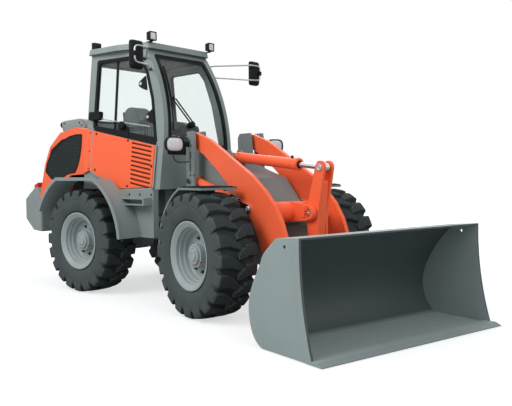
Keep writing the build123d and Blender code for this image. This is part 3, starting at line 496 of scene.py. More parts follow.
def tyre_data():
    """Mesh shared by the four tyres, about the Y axis."""
    mesh = bmesh.new()
    upright = Matrix(((0, 1, 0, 0), (0, 0, 1, 0), (1, 0, 0, 0), (0, 0, 0, 1)))
    outline = CARCASS + [(-y, r) for y, r in reversed(CARCASS[:-1])]
    lathe(mesh, outline, upright, 120, closed=True)
    for side in (-1, 1):
        for k in range(LUGS):
            lug(mesh, (k + (0.5 if side > 0 else 0)) * 2 * math.pi / LUGS, side)
    bmesh.ops.recalc_face_normals(mesh, faces=mesh.faces)
    data = bpy.data.meshes.new("tyre")
    mesh.to_mesh(data)
    mesh.free()
    data.materials.append(RUBBER)
    data.materials.append(TREAD_AND_SHADE)
    # Tread faces and groove floors take the darker rubber, which holds painted shade
    for face in data.polygons:
        far = math.hypot(face.center.x, face.center.z)
        outer_side = abs(face.normal.y) > 0.55
        on_tread = far > TREAD_RADIUS and abs(face.center.y) < TREAD_HALF
        face.material_index = 1 if on_tread and not outer_side else 0
    data.shade_smooth()
    data.set_sharp_from_angle(angle=math.radians(42))
    return data


def rim_details(name, side):
    """Wheel bolts, hub cap relief and valve, in wheel coordinates."""
    dark, hub = bmesh.new(), bmesh.new()
    out = (0, side, 0)
    for k in range(8):
        a = math.radians(45 * k + 12)
        spot = Vector((0.146 * math.cos(a), side * 0.038, 0.146 * math.sin(a)))
        bolt(dark, spot, out, 0.0125, 0.014)
        lathe(dark, [(0.012, 0.005), (0.026, 0.005), (0.027, 0.004)], toward(spot, out), 12)
    face = toward((0, side * 0.117, 0), out)
    lathe(hub, [(-0.004, 0.079), (0.004, 0.079), (0.006, 0.076), (0.006, 0.063), (0.004, 0.061)], face, 40)
    nut = [(0, 0.056), (0.011, 0.055), (0.014, 0.05), (0.014, 0.034), (0.011, 0.031), (0.011, 0.01)]
    lathe(hub, nut, face, 6)
    for k in range(6):
        a = math.radians(60 * k + 30)
        bolt(hub, Vector((0.069 * math.cos(a), side * 0.1225, 0.069 * math.sin(a))), out, 0.0055, 0.005)
    ring = toward((0, side * 0.1, 0), out)
    lathe(hub, [(-0.058, 0.112), (-0.052, 0.116), (-0.044, 0.112), (-0.044, 0.1)], ring, 48)
    valve = bmesh.new()
    spot = Vector((0.088, side * 0.104, -0.052))
    lathe(valve, [(-0.02, 0.006), (0.004, 0.006), (0.006, 0.003)], toward(spot, out), 10)
    return dark, hub, valve


def make_wheels():
    tyre = tyre_data()
    for end, place, axle_x in (("rear", REAR, 0.0), ("front", FRONT, WHEELBASE)):
        for side_name, side in (("right", -1), ("left", 1)):
            centre = place @ Matrix.Translation((axle_x, side * TYRE_Y, TYRE_RADIUS))
            made = bpy.data.objects.new(f"lugged_tyre_{end}_{side_name}", tyre)
            scene.collection.objects.link(made)
            made.matrix_world = centre
            body = f"wheel_{end}_{side_name}"
            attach(made, body)
            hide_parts(f"tyre_{end}_{side_name}")
            dark, hub, valve = rim_details(made.name, side)
            piece(f"wheel_bolts_{end}_{side_name}", body, DARK_TRIM, dark, place=centre)
            piece(f"hub_relief_{end}_{side_name}", body, RIM_GREY, hub, place=centre)
            piece(f"tyre_valve_{end}_{side_name}", body, RED, valve, place=centre)


make_wheels()


# Cab: seals, bolts, mirrors, lamps and what shows through the glass
WINDOW = [(0.115, 0.23), (1.03, 0.06), (0.96, 0.5), (0.86, 0.8), (0.74, 0.95), (0.135, 0.95)]
DOOR = [
    (0.13, -0.235), (0.48, -0.235), (0.76, -0.41), (1.005, -0.41), (1.03, 0.06), (0.96, 0.5), (0.86, 0.8),
    (0.74, 0.95), (0.13, 0.95),
]
PANEL = [(0.128, 0.2), (1.03, 0.015), (1.015, -0.405), (0.56, -0.42), (0.11, -0.23)]
COWL = [(0.002, 0.222), (0.118, 0.203), (0.1, -0.228), (0.002, -0.262)]
PANEL_OUT = 0.025
SCREEN_HALF = 0.435


def nose_x(z):
    """Front of the cab at a height: an arc above its corner, straight below."""
    if z < 1.5:
        return 0.935 + (z - 1.08) * 0.02 / 0.42
    centre, radius = screen_circle()
    return centre[0] + math.sqrt(max(0, radius**2 - (z - centre[1]) ** 2))


def screen_circle():
    (ax, az), (bx, bz), (cx, cz) = (0.955, 1.5), (0.88, 2.06), (0.64, 2.52)
    d = 2 * (ax * (bz - cz) + bx * (cz - az) + cx * (az - bz))
    a, b, c = ax**2 + az**2, bx**2 + bz**2, cx**2 + cz**2
    ux = (a * (bz - cz) + b * (cz - az) + c * (az - bz)) / d
    uz = (a * (cx - bx) + b * (ax - cx) + c * (bx - ax)) / d
    return (ux, uz), math.hypot(ax - ux, az - uz)


def screen_band(mesh, outer, inner, proud, depth):
    """Frame that follows the curved front; outlines are (y, z)."""
    sections = []
    for points, out in ((outer, -depth), (outer, proud), (inner, proud), (inner, -depth)):
        sections.append([Vector((nose_x(p.y) + out, p.x, p.y)) for p in points])
    loft(mesh, sections + sections[:1], cap=False)
    bmesh.ops.remove_doubles(mesh, verts=mesh.verts, dist=1e-6)


def matched(corners, inner_corners, radius):
    """Two rounded outlines with equal counts of points, both made dense along their edges."""
    outer, inner = rounded(corners, radius), rounded(inner_corners, radius * 0.8)
    made_outer, made_inner = [], []
    for k in range(len(outer)):
        a, b = outer[k], outer[(k + 1) % len(outer)]
        c, d = inner[k], inner[(k + 1) % len(inner)]
        count = max(1, math.ceil((b - a).length / 0.04))
        for j in range(count):
            made_outer.append(a.lerp(b, j / count))
            made_inner.append(c.lerp(d, j / count))
    return made_outer, made_inner


def make_seals():
    """Black rubber round every pane and the black strip below the side window."""
    mesh = bmesh.new()
    outer, inner = rounded(widened(WINDOW, 0.01), 0.03), rounded(widened(WINDOW, -0.026), 0.03)
    band(mesh, outer, inner, -0.024, 0.004, SIDE)
    prism(mesh, [(0.124, 0.206), (1.03, 0.021), (1.026, 0.1), (0.124, 0.262)], 0.0003, 0.006, SIDE, 0.002)
    piece("side_window_seal", "rear_body", BLACK, mesh)
    mesh = bmesh.new()
    low, high = 1.44, 2.455
    top_half = SCREEN_HALF - 0.08
    corners = [(-SCREEN_HALF, low), (SCREEN_HALF, low), (top_half, high), (-top_half, high)]
    inner = [(-SCREEN_HALF + 0.03, low + 0.09), (SCREEN_HALF - 0.03, low + 0.09)]
    inner += [(SCREEN_HALF - 0.11, high - 0.03), (-SCREEN_HALF + 0.11, high - 0.03)]
    screen_band(mesh, *matched(widened(corners, 0.012), inner, 0.04), 0.004, 0.02)
    piece("windshield_seal", "rear_body", BLACK, mesh)
    mesh = bmesh.new()
    corners = [(-0.5, 1.79), (0.5, 1.79), (0.45, 2.44), (-0.45, 2.44)]
    slope = math.atan2(0.02, 1.44)
    place = Matrix.Translation((-0.164, 0, 1.08)) @ Matrix.Rotation(slope, 4, "Y")
    place = place @ Matrix.Translation((0, 0, -1.08)) @ YZ
    outer, inner = rounded(widened(corners, 0.014), 0.04), rounded(widened(corners, -0.03), 0.035)
    band(mesh, outer, inner, -0.006, 0.022, place)
    piece("rear_window_seal", "rear_body", BLACK, mesh)
    mesh = bmesh.new()
    inset = widened(DOOR, -0.052)
    band(mesh, rounded(inset, 0.03), rounded(widened(inset, -0.024), 0.03), -0.022, 0.004, MIRROR_Y @ SIDE)
    piece("door_seal", "door", BLACK, mesh)


def make_side_panel():
    """Louvred panel and cowl strip below the right window."""
    mesh = bmesh.new()
    prism(mesh, rounded(PANEL, 0.025), 0.0003, PANEL_OUT, SIDE, 0.004)
    prism(mesh, rounded(COWL, 0.02), 0.0003, PANEL_OUT, SIDE, 0.004)
    panel = piece("louvred_side_panel", "rear_body", ORANGE, mesh)
    cutter_mesh = bmesh.new()
    slope = math.atan2(-0.054, 0.287)
    for k in range(10):
        middle = Vector((0.852, 0.026 - k * 0.0455, 0))
        turned = SIDE @ Matrix.Translation(middle) @ Matrix.Rotation(slope, 4, "Z")
        prism(cutter_mesh, box_outline(0.14, 0.0085, 0.0085), PANEL_OUT - 0.012, PANEL_OUT + 0.01, turned)
    cutter_mesh.transform(REAR)
    bmesh.ops.recalc_face_normals(cutter_mesh, faces=cutter_mesh.faces)
    data = bpy.data.meshes.new("louvre_cut")
    cutter_mesh.to_mesh(data)
    cutter_mesh.free()
    # Painted shade on the faces cut by the louvres
    data.materials.append(LOUVRE_DARK)
    cutter = bpy.data.objects.new("louvre_cut", data)
    scene.collection.objects.link(cutter)
    cut = panel.modifiers.new("louvres", "BOOLEAN")
    cut.object, cut.operation, cut.solver = cutter, "DIFFERENCE", "EXACT"
    panel.data.materials.append(LOUVRE_DARK)
    bake(panel, 30)
    bpy.data.objects.remove(cutter)
    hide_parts("side_panel")

    mesh = bmesh.new()
    panel_bolts = ((0.185, 0.163), (0.657, 0.078), (1.0, -0.192), (0.673, -0.39), (0.187, -0.219))
    for s, h in panel_bolts:
        bolt(mesh, on_side(s, h, PANEL_OUT), OUTWARD, 0.009, 0.007)
    for s, h in ((0.092, 0.179), (0.088, -0.02), (0.083, -0.205)):
        bolt(mesh, on_side(s, h, PANEL_OUT), OUTWARD, 0.006, 0.005)
    piece("side_panel_bolts", "rear_body", BLACK, mesh)
    # Rounded trim round the panel, its lighter grey a painted highlight
    mesh = bmesh.new()
    trim = [on_side(0.117, 0.2, 0.014), on_side(0.104, -0.236, 0.014), on_side(0.556, -0.43, 0.014)]
    trim += [on_side(1.022, -0.416, 0.014), on_side(1.042, 0.02, 0.014)]
    bent(mesh, trim, 0.03, 0.0075)
    piece("side_panel_edge", "rear_body", CAB_EDGE_HIGHLIGHT, mesh)


def make_window_fittings():
    """Hinges, catch, stay and knob of the side window."""
    mesh, pale = bmesh.new(), bmesh.new()
    for s, h in ((0.79, 0.655), (0.905, 0.31)):
        lug_plate = [(s + 0.09, h - 0.075), (s + 0.06, h + 0.085), (s + 0.01, h + 0.05)]
        lug_plate += [(s - 0.035, h + 0.02), (s - 0.035, h - 0.02), (s + 0.02, h - 0.05)]
        prism(mesh, rounded(lug_plate, 0.02), 0.001, 0.012, SIDE, 0.003)
        hinge = SIDE @ Matrix.Translation((s, h, 0))
        lathe(pale, [(0.008, 0.017), (0.018, 0.017), (0.021, 0.014), (0.021, 0.003)], hinge, 24)
    catch = [(0.075, 0.4), (0.25, 0.4), (0.25, 0.31), (0.075, 0.31)]
    prism(mesh, rounded(catch, 0.015), 0.004, 0.05, SIDE, 0.006)
    knob = SIDE @ Matrix.Translation((0.564, 0.235, 0))
    profile = [(0.0, 0.02), (0.02, 0.02), (0.025, 0.042), (0.04, 0.045), (0.05, 0.036), (0.052, 0.01)]
    lathe(mesh, profile, knob, 28)
    foot = [(0.475, 0.142), (0.655, 0.108), (0.605, 0.25), (0.53, 0.26)]
    prism(mesh, rounded(foot, 0.03), 0.001, 0.014, SIDE, 0.004)
    piece("side_window_fittings", "rear_body", BLACK, mesh)
    piece("side_window_hinge_pins", "rear_body", SILVER, pale)
    mesh = bmesh.new()
    tube(mesh, [on_side(0.24, 0.322, 0.02), on_side(0.56, 0.27, 0.02), on_side(0.955, 0.21, 0.018)], 0.0065)
    piece("side_window_stay", "rear_body", SILVER, mesh)


def make_wiper():
    """Blade, double arm and spindle on the windshield."""
    def screen(y, z, out=0.02):
        return Vector((nose_x(z) + out, y, z))

    mesh = bmesh.new()
    blade = [screen(-0.335, 2.33), screen(-0.345, 2.15), screen(-0.36, 1.9), screen(-0.375, 1.67)]
    bent(mesh, blade, 0.1, 0.007)
    tube(mesh, [p + Vector((0.014, 0, 0)) for p in rounded(blade[:3], 0.1, closed=False)], 0.005)
    for y_shift in (0, 0.045):
        tube(mesh, [screen(-0.352 + y_shift, 1.995, 0.036), screen(-0.15 + y_shift, 1.74, 0.05)], 0.0075)
    block_place = screen(-0.34, 1.995, 0.03)
    lathe(mesh, [(-0.012, 0.018), (0.014, 0.018), (0.018, 0.012)], toward(block_place, (1, 0, 0.3)), 20)
    spindle = toward(screen(-0.13, 1.735, 0.03), (1, 0, 0.2))
    lathe(mesh, [(-0.03, 0.032), (0.03, 0.03), (0.036, 0.02)], spindle, 24)
    piece("wiper", "rear_body", BLACK, mesh)


def make_mirrors():
    """Housings on silver tubes with their glass facing the driver."""
    shells, tubes, panes, clamps = bmesh.new(), bmesh.new(), bmesh.new(), bmesh.new()
    for side in (-1, 1):
        middle = Matrix.Translation((0, side * 0.86, 2.36)) @ YZ
        sections = []
        for x, shrink in ((0.976, 0.0), (0.99, 0.0), (1.01, -0.004), (1.022, -0.014), (1.028, -0.034)):
            outline = box_outline(0.075 + shrink, 0.135 + shrink, 0.032)
            sections.append(flat(outline, x, middle))
        loft(shells, sections)
        prism(panes, box_outline(0.066, 0.126, 0.026), 0.9755, 0.973, middle)
        high, low = on_side(0.818, 0.915, 0.0), on_side(0.905, 0.8, 0.0)
        if side > 0:
            high, low = MIRROR_Y @ high, MIRROR_Y @ low
        edge = side * 0.915
        path = [high, high + Vector((0.06, side * 0.03, 0.02)), (1.034, side * 0.76, 2.44)]
        path += [(1.036, edge, 2.44), (1.036, edge, 2.285), (1.034, side * 0.78, 2.275)]
        path += [low + Vector((0.03, side * 0.03, 0)), low]
        bent(tubes, path, 0.045, 0.0085)
        for foot in (high, low):
            normal = OUTWARD if side < 0 else MIRROR_Y @ OUTWARD
            lathe(clamps, [(-0.002, 0.018), (0.014, 0.017), (0.018, 0.012)], toward(foot, normal), 20)
        block(clamps, (1.02, edge - 0.016, 2.34), (1.05, edge + 0.016, 2.385), 0.006)
    shell = piece("mirror_housings", "rear_body", BLACK, shells, bevel=0.003)
    rods = piece("mirror_tubes", "rear_body", SILVER, tubes)
    piece("mirror_clamps", "rear_body", BLACK, clamps)
    piece("mirror_glass", "rear_body", CHROME, panes)
    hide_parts("mirrors")


WORK_LIGHT_Y = 0.425
WORK_LIGHT_Z = 2.63
LAMP_SHELL = ((-0.035, 0.03), (-0.025, 0.04), (0.01, 0.045), (0.034, 0.045), (0.034, 0.036), (0.026, 0.034))
LAMP_LENS = ((0.024, 0.0345), (0.03, 0.034), (0.033, 0.026))


def make_work_lights():
    """Four square lamps on the roof."""
    shells, lenses = bmesh.new(), bmesh.new()
    for x, facing in ((0.715, 1), (-0.175, -1)):
        for side in (-1, 1):
            y = side * WORK_LIGHT_Y
            turn = Matrix.Rotation(0 if facing > 0 else math.pi, 4, "Z")
            middle = Matrix.Translation((x, y, WORK_LIGHT_Z)) @ turn @ YZ
            loft(shells, [flat(box_outline(half, half, 0.01), depth, middle) for depth, half in LAMP_SHELL])
            loft(lenses, [flat(box_outline(half, half, 0.008), depth, middle) for depth, half in LAMP_LENS])
            block(shells, (x - 0.012, y - 0.012, 2.578), (x + 0.012, y + 0.012, 2.59), 0.004)
            low, high = sorted((x, x - facing * 0.05))
            block(shells, (low - 0.01, y - 0.015, 2.575), (high + 0.01, y + 0.015, 2.583), 0.004)
    shell = piece("work_light_housings", "rear_body", BLACK, shells)
    piece("work_light_lenses", "rear_body", LENS, lenses)
    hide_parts("work_lights")


HEADLAMP_SIZE = (0.1, 0.072, 0.068)
HEADLAMP_SHELL = (
    (1.385, 0.35), (1.392, 0.62), (1.41, 0.86), (1.436, 0.97), (1.462, 1.0), (1.469, 0.985), (1.469, 0.88),
    (1.455, 0.86),
)
HEADLAMP_LENS = ((1.453, 0.865), (1.46, 0.86), (1.468, 0.74), (1.473, 0.5), (1.4745, 0.2))


def make_headlights():
    """Oval lamps in black shells on brackets beside the tower, with their wires."""
    shells, lenses = bmesh.new(), bmesh.new()
    for side in (-1, 1):
        middle = Matrix.Translation((0, side * 0.6, 1.513)) @ YZ
        for mesh, profile in ((shells, HEADLAMP_SHELL), (lenses, HEADLAMP_LENS)):
            sections = []
            for x, scale in profile:
                outline = box_outline(*(size * scale for size in HEADLAMP_SIZE))
                sections.append(flat(outline, x, middle))
            loft(mesh, sections)
        near, far = sorted((side * 0.4205, side * 0.54))
        block(shells, (1.405, near, 1.49), (1.43, far, 1.54), 0.008)
        tube(shells, [(1.425, side * 0.6, 1.46), (1.425, side * 0.6, 1.425)], 0.017)
        wire = [(1.425, side * 0.6, 1.43), (1.425, side * 0.598, 1.38), (1.43, side * 0.56, 1.345)]
        wire += [(1.435, side * 0.47, 1.345), (1.437, side * 0.418, 1.35)]
        bent(shells, wire, 0.03, 0.0045, 8)
    shell = piece("headlight_shells", "front_body", BLACK, shells)
    piece("headlight_lenses", "front_body", HEADLAMP, lenses)
    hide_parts("headlights")


def make_cab_inside():
    """Instrument pod, knob on the wheel, levers and armrest."""
    mesh = bmesh.new()
    pod = Matrix.Translation((0.735, -0.02, 1.705)) @ Matrix.Rotation(math.radians(14), 4, "Y")
    profile = [(-0.07, 0.55), (-0.055, 0.8), (-0.02, 0.97), (0.02, 1.0), (0.05, 0.9), (0.066, 0.66)]
    sections = []
    for height, scale in profile + [(0.072, 0.3)]:
        sections.append(flat(box_outline(0.13 * scale, 0.12 * scale, 0.07 * scale), height, pod))
    loft(mesh, sections)
    piece("instrument_pod", "rear_body", DARK_TRIM, mesh)
    mesh = bmesh.new()
    profile = [(0, 0.011), (0.03, 0.009), (0.034, 0.02), (0.05, 0.026), (0.066, 0.02), (0.072, 0.006)]
    lathe(mesh, profile, toward((0.575, -0.105, 1.63), (-0.35, 0, 1)), 24)
    piece("steering_knob", "rear_body", BLACK, mesh)
    mesh = bmesh.new()
    for x in (0.44, 0.49, 0.54):
        stalk = [(x, -0.345, 1.6), (x + 0.005, -0.345, 1.68), (x - 0.01, -0.34, 1.76)]
        bent(mesh, stalk, 0.03, 0.007)
        knob = toward((x - 0.01, -0.34, 1.775), (0, 0, 1))
        lathe(mesh, [(-0.022, 0.01), (0, 0.02), (0.02, 0.018), (0.028, 0.006)], knob, 20)
    armrest = rounded([(0.05, 1.69), (0.42, 1.69), (0.43, 1.735), (0.06, 1.745)], 0.02)
    slab(mesh, armrest, -0.29, -0.36, 0.006)
    slab(mesh, armrest, 0.29, 0.36, 0.006)
    piece("levers_and_armrests", "rear_body", BLACK, mesh)


make_seals()
make_side_panel()
make_window_fittings()
make_wiper()
make_mirrors()
make_work_lights()
make_headlights()
make_cab_inside()


# Hood: leaf-shaped side grilles with black edging, and the rounded exhaust duct
HOOD_HALF = 0.6
GRILLE_LEAF = [
    (-0.236, 1.676), (-0.348, 1.677), (-0.46, 1.662), (-0.56, 1.632), (-0.654, 1.59), (-0.76, 1.53),
    (-0.857, 1.452), (-0.915, 1.37), (-0.952, 1.27), (-0.85, 1.19), (-0.73, 1.155), (-0.64, 1.18),
    (-0.553, 1.225), (-0.47, 1.245), (-0.382, 1.25), (-0.33, 1.31), (-0.284, 1.41), (-0.25, 1.53),
]
SLATS = 15
SLAT_FOOT = 1.2
SLAT_PITCH = 0.031
SLAT_HEIGHT = 0.01
SLAT_INSET = 0.016


def span_at(points, height):
    """Lowest and highest u of an outline at one v."""
    cuts = []
    for a, b in zip(points, points[1:] + points[:1]):
        if (a.y - height) * (b.y - height) < 0:
            cuts.append(a.x + (b.x - a.x) * (height - a.y) / (b.y - a.y))
    return min(cuts), max(cuts)


def make_hood_grilles():
    """Slatted sheets with a raised black edge on both sides of the hood."""
    leaf = rounded(GRILLE_LEAF, 0.02)
    inside = rounded(widened(GRILLE_LEAF, -0.012), 0.016)
    edge, sheet = bmesh.new(), bmesh.new()
    for side in (-1, 1):
        slab(sheet, leaf, side * (HOOD_HALF - 0.002), side * (HOOD_HALF + 0.0015))
        for k in range(SLATS):
            foot = SLAT_FOOT + k * SLAT_PITCH
            low, high = span_at(leaf, foot)
            low, high, top = low + SLAT_INSET, high - SLAT_INSET, foot + SLAT_HEIGHT
            bar = [(low, foot), (high, foot), (high, top), (low, top)]
            slab(sheet, bar, side * (HOOD_HALF + 0.001), side * (HOOD_HALF + 0.0035))
        near, far = sorted((-side * (HOOD_HALF - 0.002), -side * (HOOD_HALF + 0.005)), key=abs)
        band(edge, leaf, inside, near, far, XZ)
    piece("side_grilles", "hood", GRILLE, sheet)
    piece("grille_edging", "hood", BLACK, edge)


DUCT = [(-0.5, 1.7), (-0.515, 1.79), (-0.6, 1.88), (-0.96, 1.865), (-0.96, 1.79), (-0.84, 1.56)]
# Across the duct: y and how far its outline draws in
DUCT_ROWS = ((-0.23, 0.014), (-0.237, 0.004), (-0.246, 0.0), (-0.354, 0.0), (-0.363, 0.004), (-0.37, 0.014))


def make_exhaust():
    """Duct over the hood's shoulder with its bolts and a rubber outlet."""
    mesh = bmesh.new()
    outline = rounded(DUCT, 0.035)
    sections = []
    for y, inset in DUCT_ROWS:
        sections.append(flat(widened(outline, -inset) if inset else outline, -y, XZ))
    loft(mesh, sections)
    duct = piece("exhaust_duct", "hood", CAB_GREY, mesh, angle=50)
    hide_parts("exhaust_cover")
    mesh = bmesh.new()
    outlet = toward((-0.95, -0.3, 1.825), (-1, 0, 0))
    profile = [(0, 0.035), (0.01, 0.04), (0.06, 0.04), (0.078, 0.037), (0.08, 0.032), (0.03, 0.03)]
    lathe(mesh, profile, outlet, 28)
    for x, z in ((-0.56, 1.8), (-0.6, 1.83), (-0.9, 1.835), (-0.9, 1.73)):
        bolt(mesh, (x, -0.3695, z), (0, -1, 0), 0.008, 0.006)
    piece("exhaust_outlet", "hood", BLACK, mesh)


CUSHION = [(0.08, 1.33), (0.52, 1.33), (0.53, 1.4), (0.49, 1.435), (0.09, 1.425)]
BACKREST = [
    (0.075, 1.445), (0.15, 1.46), (0.13, 1.6), (0.09, 1.78), (0.055, 1.92), (0.02, 1.99), (-0.04, 1.995),
    (-0.05, 1.92), (-0.02, 1.72), (0.03, 1.5),
]
# Name, (x, z) outline, half width, reach of the drawn-in sides, fall of the top at the sides
SEAT_PADS = (("seat_cushion", CUSHION, 0.225, 0.06, 0.0), ("seat_back", BACKREST, 0.215, 0.12, 0.07))
PAD_VOXEL = 0.006
PAD_PRESSURE = 4
PAD_FRAMES = 20
# Most points reach this cap, so it sets the swell more than the simulation does
PAD_MOVE = 0.01


def make_seat():
    """Cushion and back, remeshed and swollen as cloth under pressure."""
    for name, outline, half, corner, fall in SEAT_PADS:
        mesh = bmesh.new()
        points = rounded(outline, 0.03)
        middle = sum(points, Vector((0, 0))) / len(points)
        sections = []
        for k in range(17):
            y = half * (k / 8 - 1)
            edge = max(0.0, (abs(y) - half + corner) / corner)
            row = []
            for p in points:
                q = middle + (p - middle) * (1 - 0.25 * edge**3)
                drop = fall * edge**2 if p.y > middle.y else 0.0
                row.append(Vector((q.x, y, q.y - drop)))
            sections.append(row)
        loft(mesh, sections)
        pad = piece(name, "rear_body", CLOTH, mesh, angle=60)
        remesh = pad.modifiers.new("remesh", "REMESH")
        remesh.mode, remesh.voxel_size = "VOXEL", PAD_VOXEL
        bake(pad, 60)
        swell(pad)
        finer = pad.modifiers.new("finer", "SUBSURF")
        finer.levels = finer.render_levels = 1
        if name == "seat_cushion":
            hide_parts("seat")


def swell(pad):
    """Inflate a pad under pressure, with the movement of each point capped."""
    before = [v.co.copy() for v in pad.data.vertices]
    cloth = pad.modifiers.new("cloth", "CLOTH")
    cloth.settings.use_pressure = True
    cloth.settings.uniform_pressure_force = PAD_PRESSURE
    cloth.settings.effector_weights.gravity = 0
    for number in range(1, PAD_FRAMES + 1):
        scene.frame_set(number)
    graph = bpy.context.evaluated_depsgraph_get()
    made = bpy.data.meshes.new_from_object(pad.evaluated_get(graph))
    pad.modifiers.clear()
    for vertex, start in zip(made.vertices, before):
        move = vertex.co - start
        if move.length > PAD_MOVE:
            vertex.co = start + move.normalized() * PAD_MOVE
    pad.data = made
    made.shade_smooth()
    scene.frame_set(1)


def make_seat_trim():
    """Seams of the cushions and the shell behind the back."""
    mesh = bmesh.new()
    for y in (-0.08, 0.08):
        seat_seam = [(0.13, y, 1.433), (0.3, y, 1.443), (0.49, y, 1.441)]
        bent(mesh, seat_seam, 0.05, 0.004, 8)
        back_seam = [(0.15, y, 1.5), (0.137, y, 1.62), (0.098, y, 1.8), (0.07, y, 1.91)]
        bent(mesh, back_seam, 0.08, 0.004, 8)
    piece("seat_seams", "rear_body", DARK_TRIM, mesh)
    mesh = bmesh.new()
    shell = [(-0.055, 1.93), (-0.068, 1.92), (-0.04, 1.7), (0.01, 1.46), (0.03, 1.46), (-0.02, 1.74)]
    slab(mesh, rounded(shell, 0.01), -0.17, 0)
    slab(mesh, rounded(shell, 0.01), 0, 0.17)
    piece("seat_shell", "rear_body", BLACK, mesh)


# Loader: pin heads, collars, glands and bolts
BOOM_PIN = (1.415, 1.56)
LIFT_PIN = (1.42, 1.165)
TILT_PIN = (1.602, 1.393)
LIFT_EYE = (2.3, 0.93)
LEVER_TOP = (2.875, 1.28)
LEVER_PIN = (2.78, 0.905)
LEVER_FOOT = (2.8, 0.46)
BUCKET_PIN = (2.9, 0.25)
CROSS_TUBE = (2.5, 0.9)
TOWER_BOLTS = ((1.455, 1.505), (1.375, 1.61), (1.44, 1.22), (1.44, 1.11), (1.5, 1.22), (1.5, 1.11))
# Group, centre, distance from the middle, radius and height of each pin head
PIN_HEADS = (
    ("tower", BOOM_PIN, 0.44, 0.029, 0.008),
    ("tower", LIFT_PIN, 0.435, 0.024, 0.008),
    ("boom", BUCKET_PIN, 0.395, 0.027, 0.008),
    ("boom", LIFT_EYE, 0.374, 0.024, 0.008),
    ("boom", LEVER_PIN, 0.092, 0.04, 0.008),
    ("lever", LEVER_TOP, 0.056, 0.03, 0.01),
    ("lever", LEVER_FOOT, 0.056, 0.026, 0.01),
)
# Name, pin, far end, radius and length of the barrel, y and body
CYLINDERS = (
    ("tilt", TILT_PIN, LEVER_TOP, 0.049, 0.96, 0.0, "tilt_barrel"),
    ("lift_right", LIFT_PIN, LIFT_EYE, 0.042, 0.6, -0.34, "lift_barrel_right"),
    ("lift_left", LIFT_PIN, LIFT_EYE, 0.042, 0.6, 0.34, "lift_barrel_left"),
)


def make_pins():
    """Pin heads of the tower, boom and lever, and the boom's bosses."""
    meshes = {group: bmesh.new() for group in ("tower", "boom", "bosses", "lever")}
    for side in (-1, 1):
        out = (0, side, 0)
        for group, (x, z), y, radius, height in PIN_HEADS:
            pin_head(meshes[group], (x, side * y, z), out, radius, height)
        for x, z in TOWER_BOLTS:
            bolt(meshes["tower"], (x, side * 0.4205, z), out, 0.007, 0.006)
        boss = toward((LEVER_PIN[0], side * 0.092, LEVER_PIN[1]), out)
        lathe(meshes["bosses"], [(-0.003, 0.058), (0.005, 0.058), (0.008, 0.055), (0.008, 0.03)], boss, 36)
        root = toward((CROSS_TUBE[0], side * 0.3195, CROSS_TUBE[1]), (0, -side, 0))
        lathe(meshes["bosses"], [(0, 0.1), (0.012, 0.1), (0.022, 0.09), (0.022, 0.085)], root, 48)
    piece("tower_pin_heads", "front_body", DARK_TRIM, meshes["tower"])
    piece("boom_pin_heads", "boom", SILVER, meshes["boom"])
    piece("boom_bosses", "boom", ORANGE, meshes["bosses"])
    piece("lever_pin_heads", "lever", SILVER, meshes["lever"])


def make_cylinder_rings():
    """Collar, gland, wiper ring and hose port on each loader cylinder."""
    for name, start, end, radius, length, y, body in CYLINDERS:
        base = Vector((start[0], y, start[1]))
        along = (Vector((end[0], y, end[1])) - base).normalized()
        rings, dark = bmesh.new(), bmesh.new()
        gland = toward(base + along * (length - 0.055), along)
        proud = radius + 0.006
        profile = [(0, radius), (0.003, proud), (0.046, proud), (0.05, radius), (0.055, 0.034)]
        lathe(rings, profile, gland, 36)
        lathe(dark, [(0.054, 0.036), (0.062, 0.032), (0.064, 0.025), (0.058, 0.0248)], gland, 32)
        if name == "tilt":
            collar = toward(base + along * 0.062, along)
            proud = radius + 0.004
            lathe(rings, [(0, radius), (0.003, proud), (0.062, proud), (0.067, radius)], collar, 36)
            for k in range(6):
                turn = collar @ Matrix.Rotation(math.radians(60 * k + 15), 4, "Z")
                spot = turn @ Vector((radius + 0.0035, 0, 0.032))
                bolt(dark, spot, turn.to_3x3() @ Vector((1, 0, 0)), 0.006, 0.004)
        port = toward(base + along * (length - 0.1) + Vector((0, 0, radius * 0.95)), (0, 0, 1))
        lathe(dark, [(-0.01, 0.014), (0.012, 0.014), (0.014, 0.011), (0.024, 0.011)], port, 6)
        piece(f"{name}_cylinder_rings", body, ORANGE, rings)
        piece(f"{name}_cylinder_fittings", body, BLACK, dark)


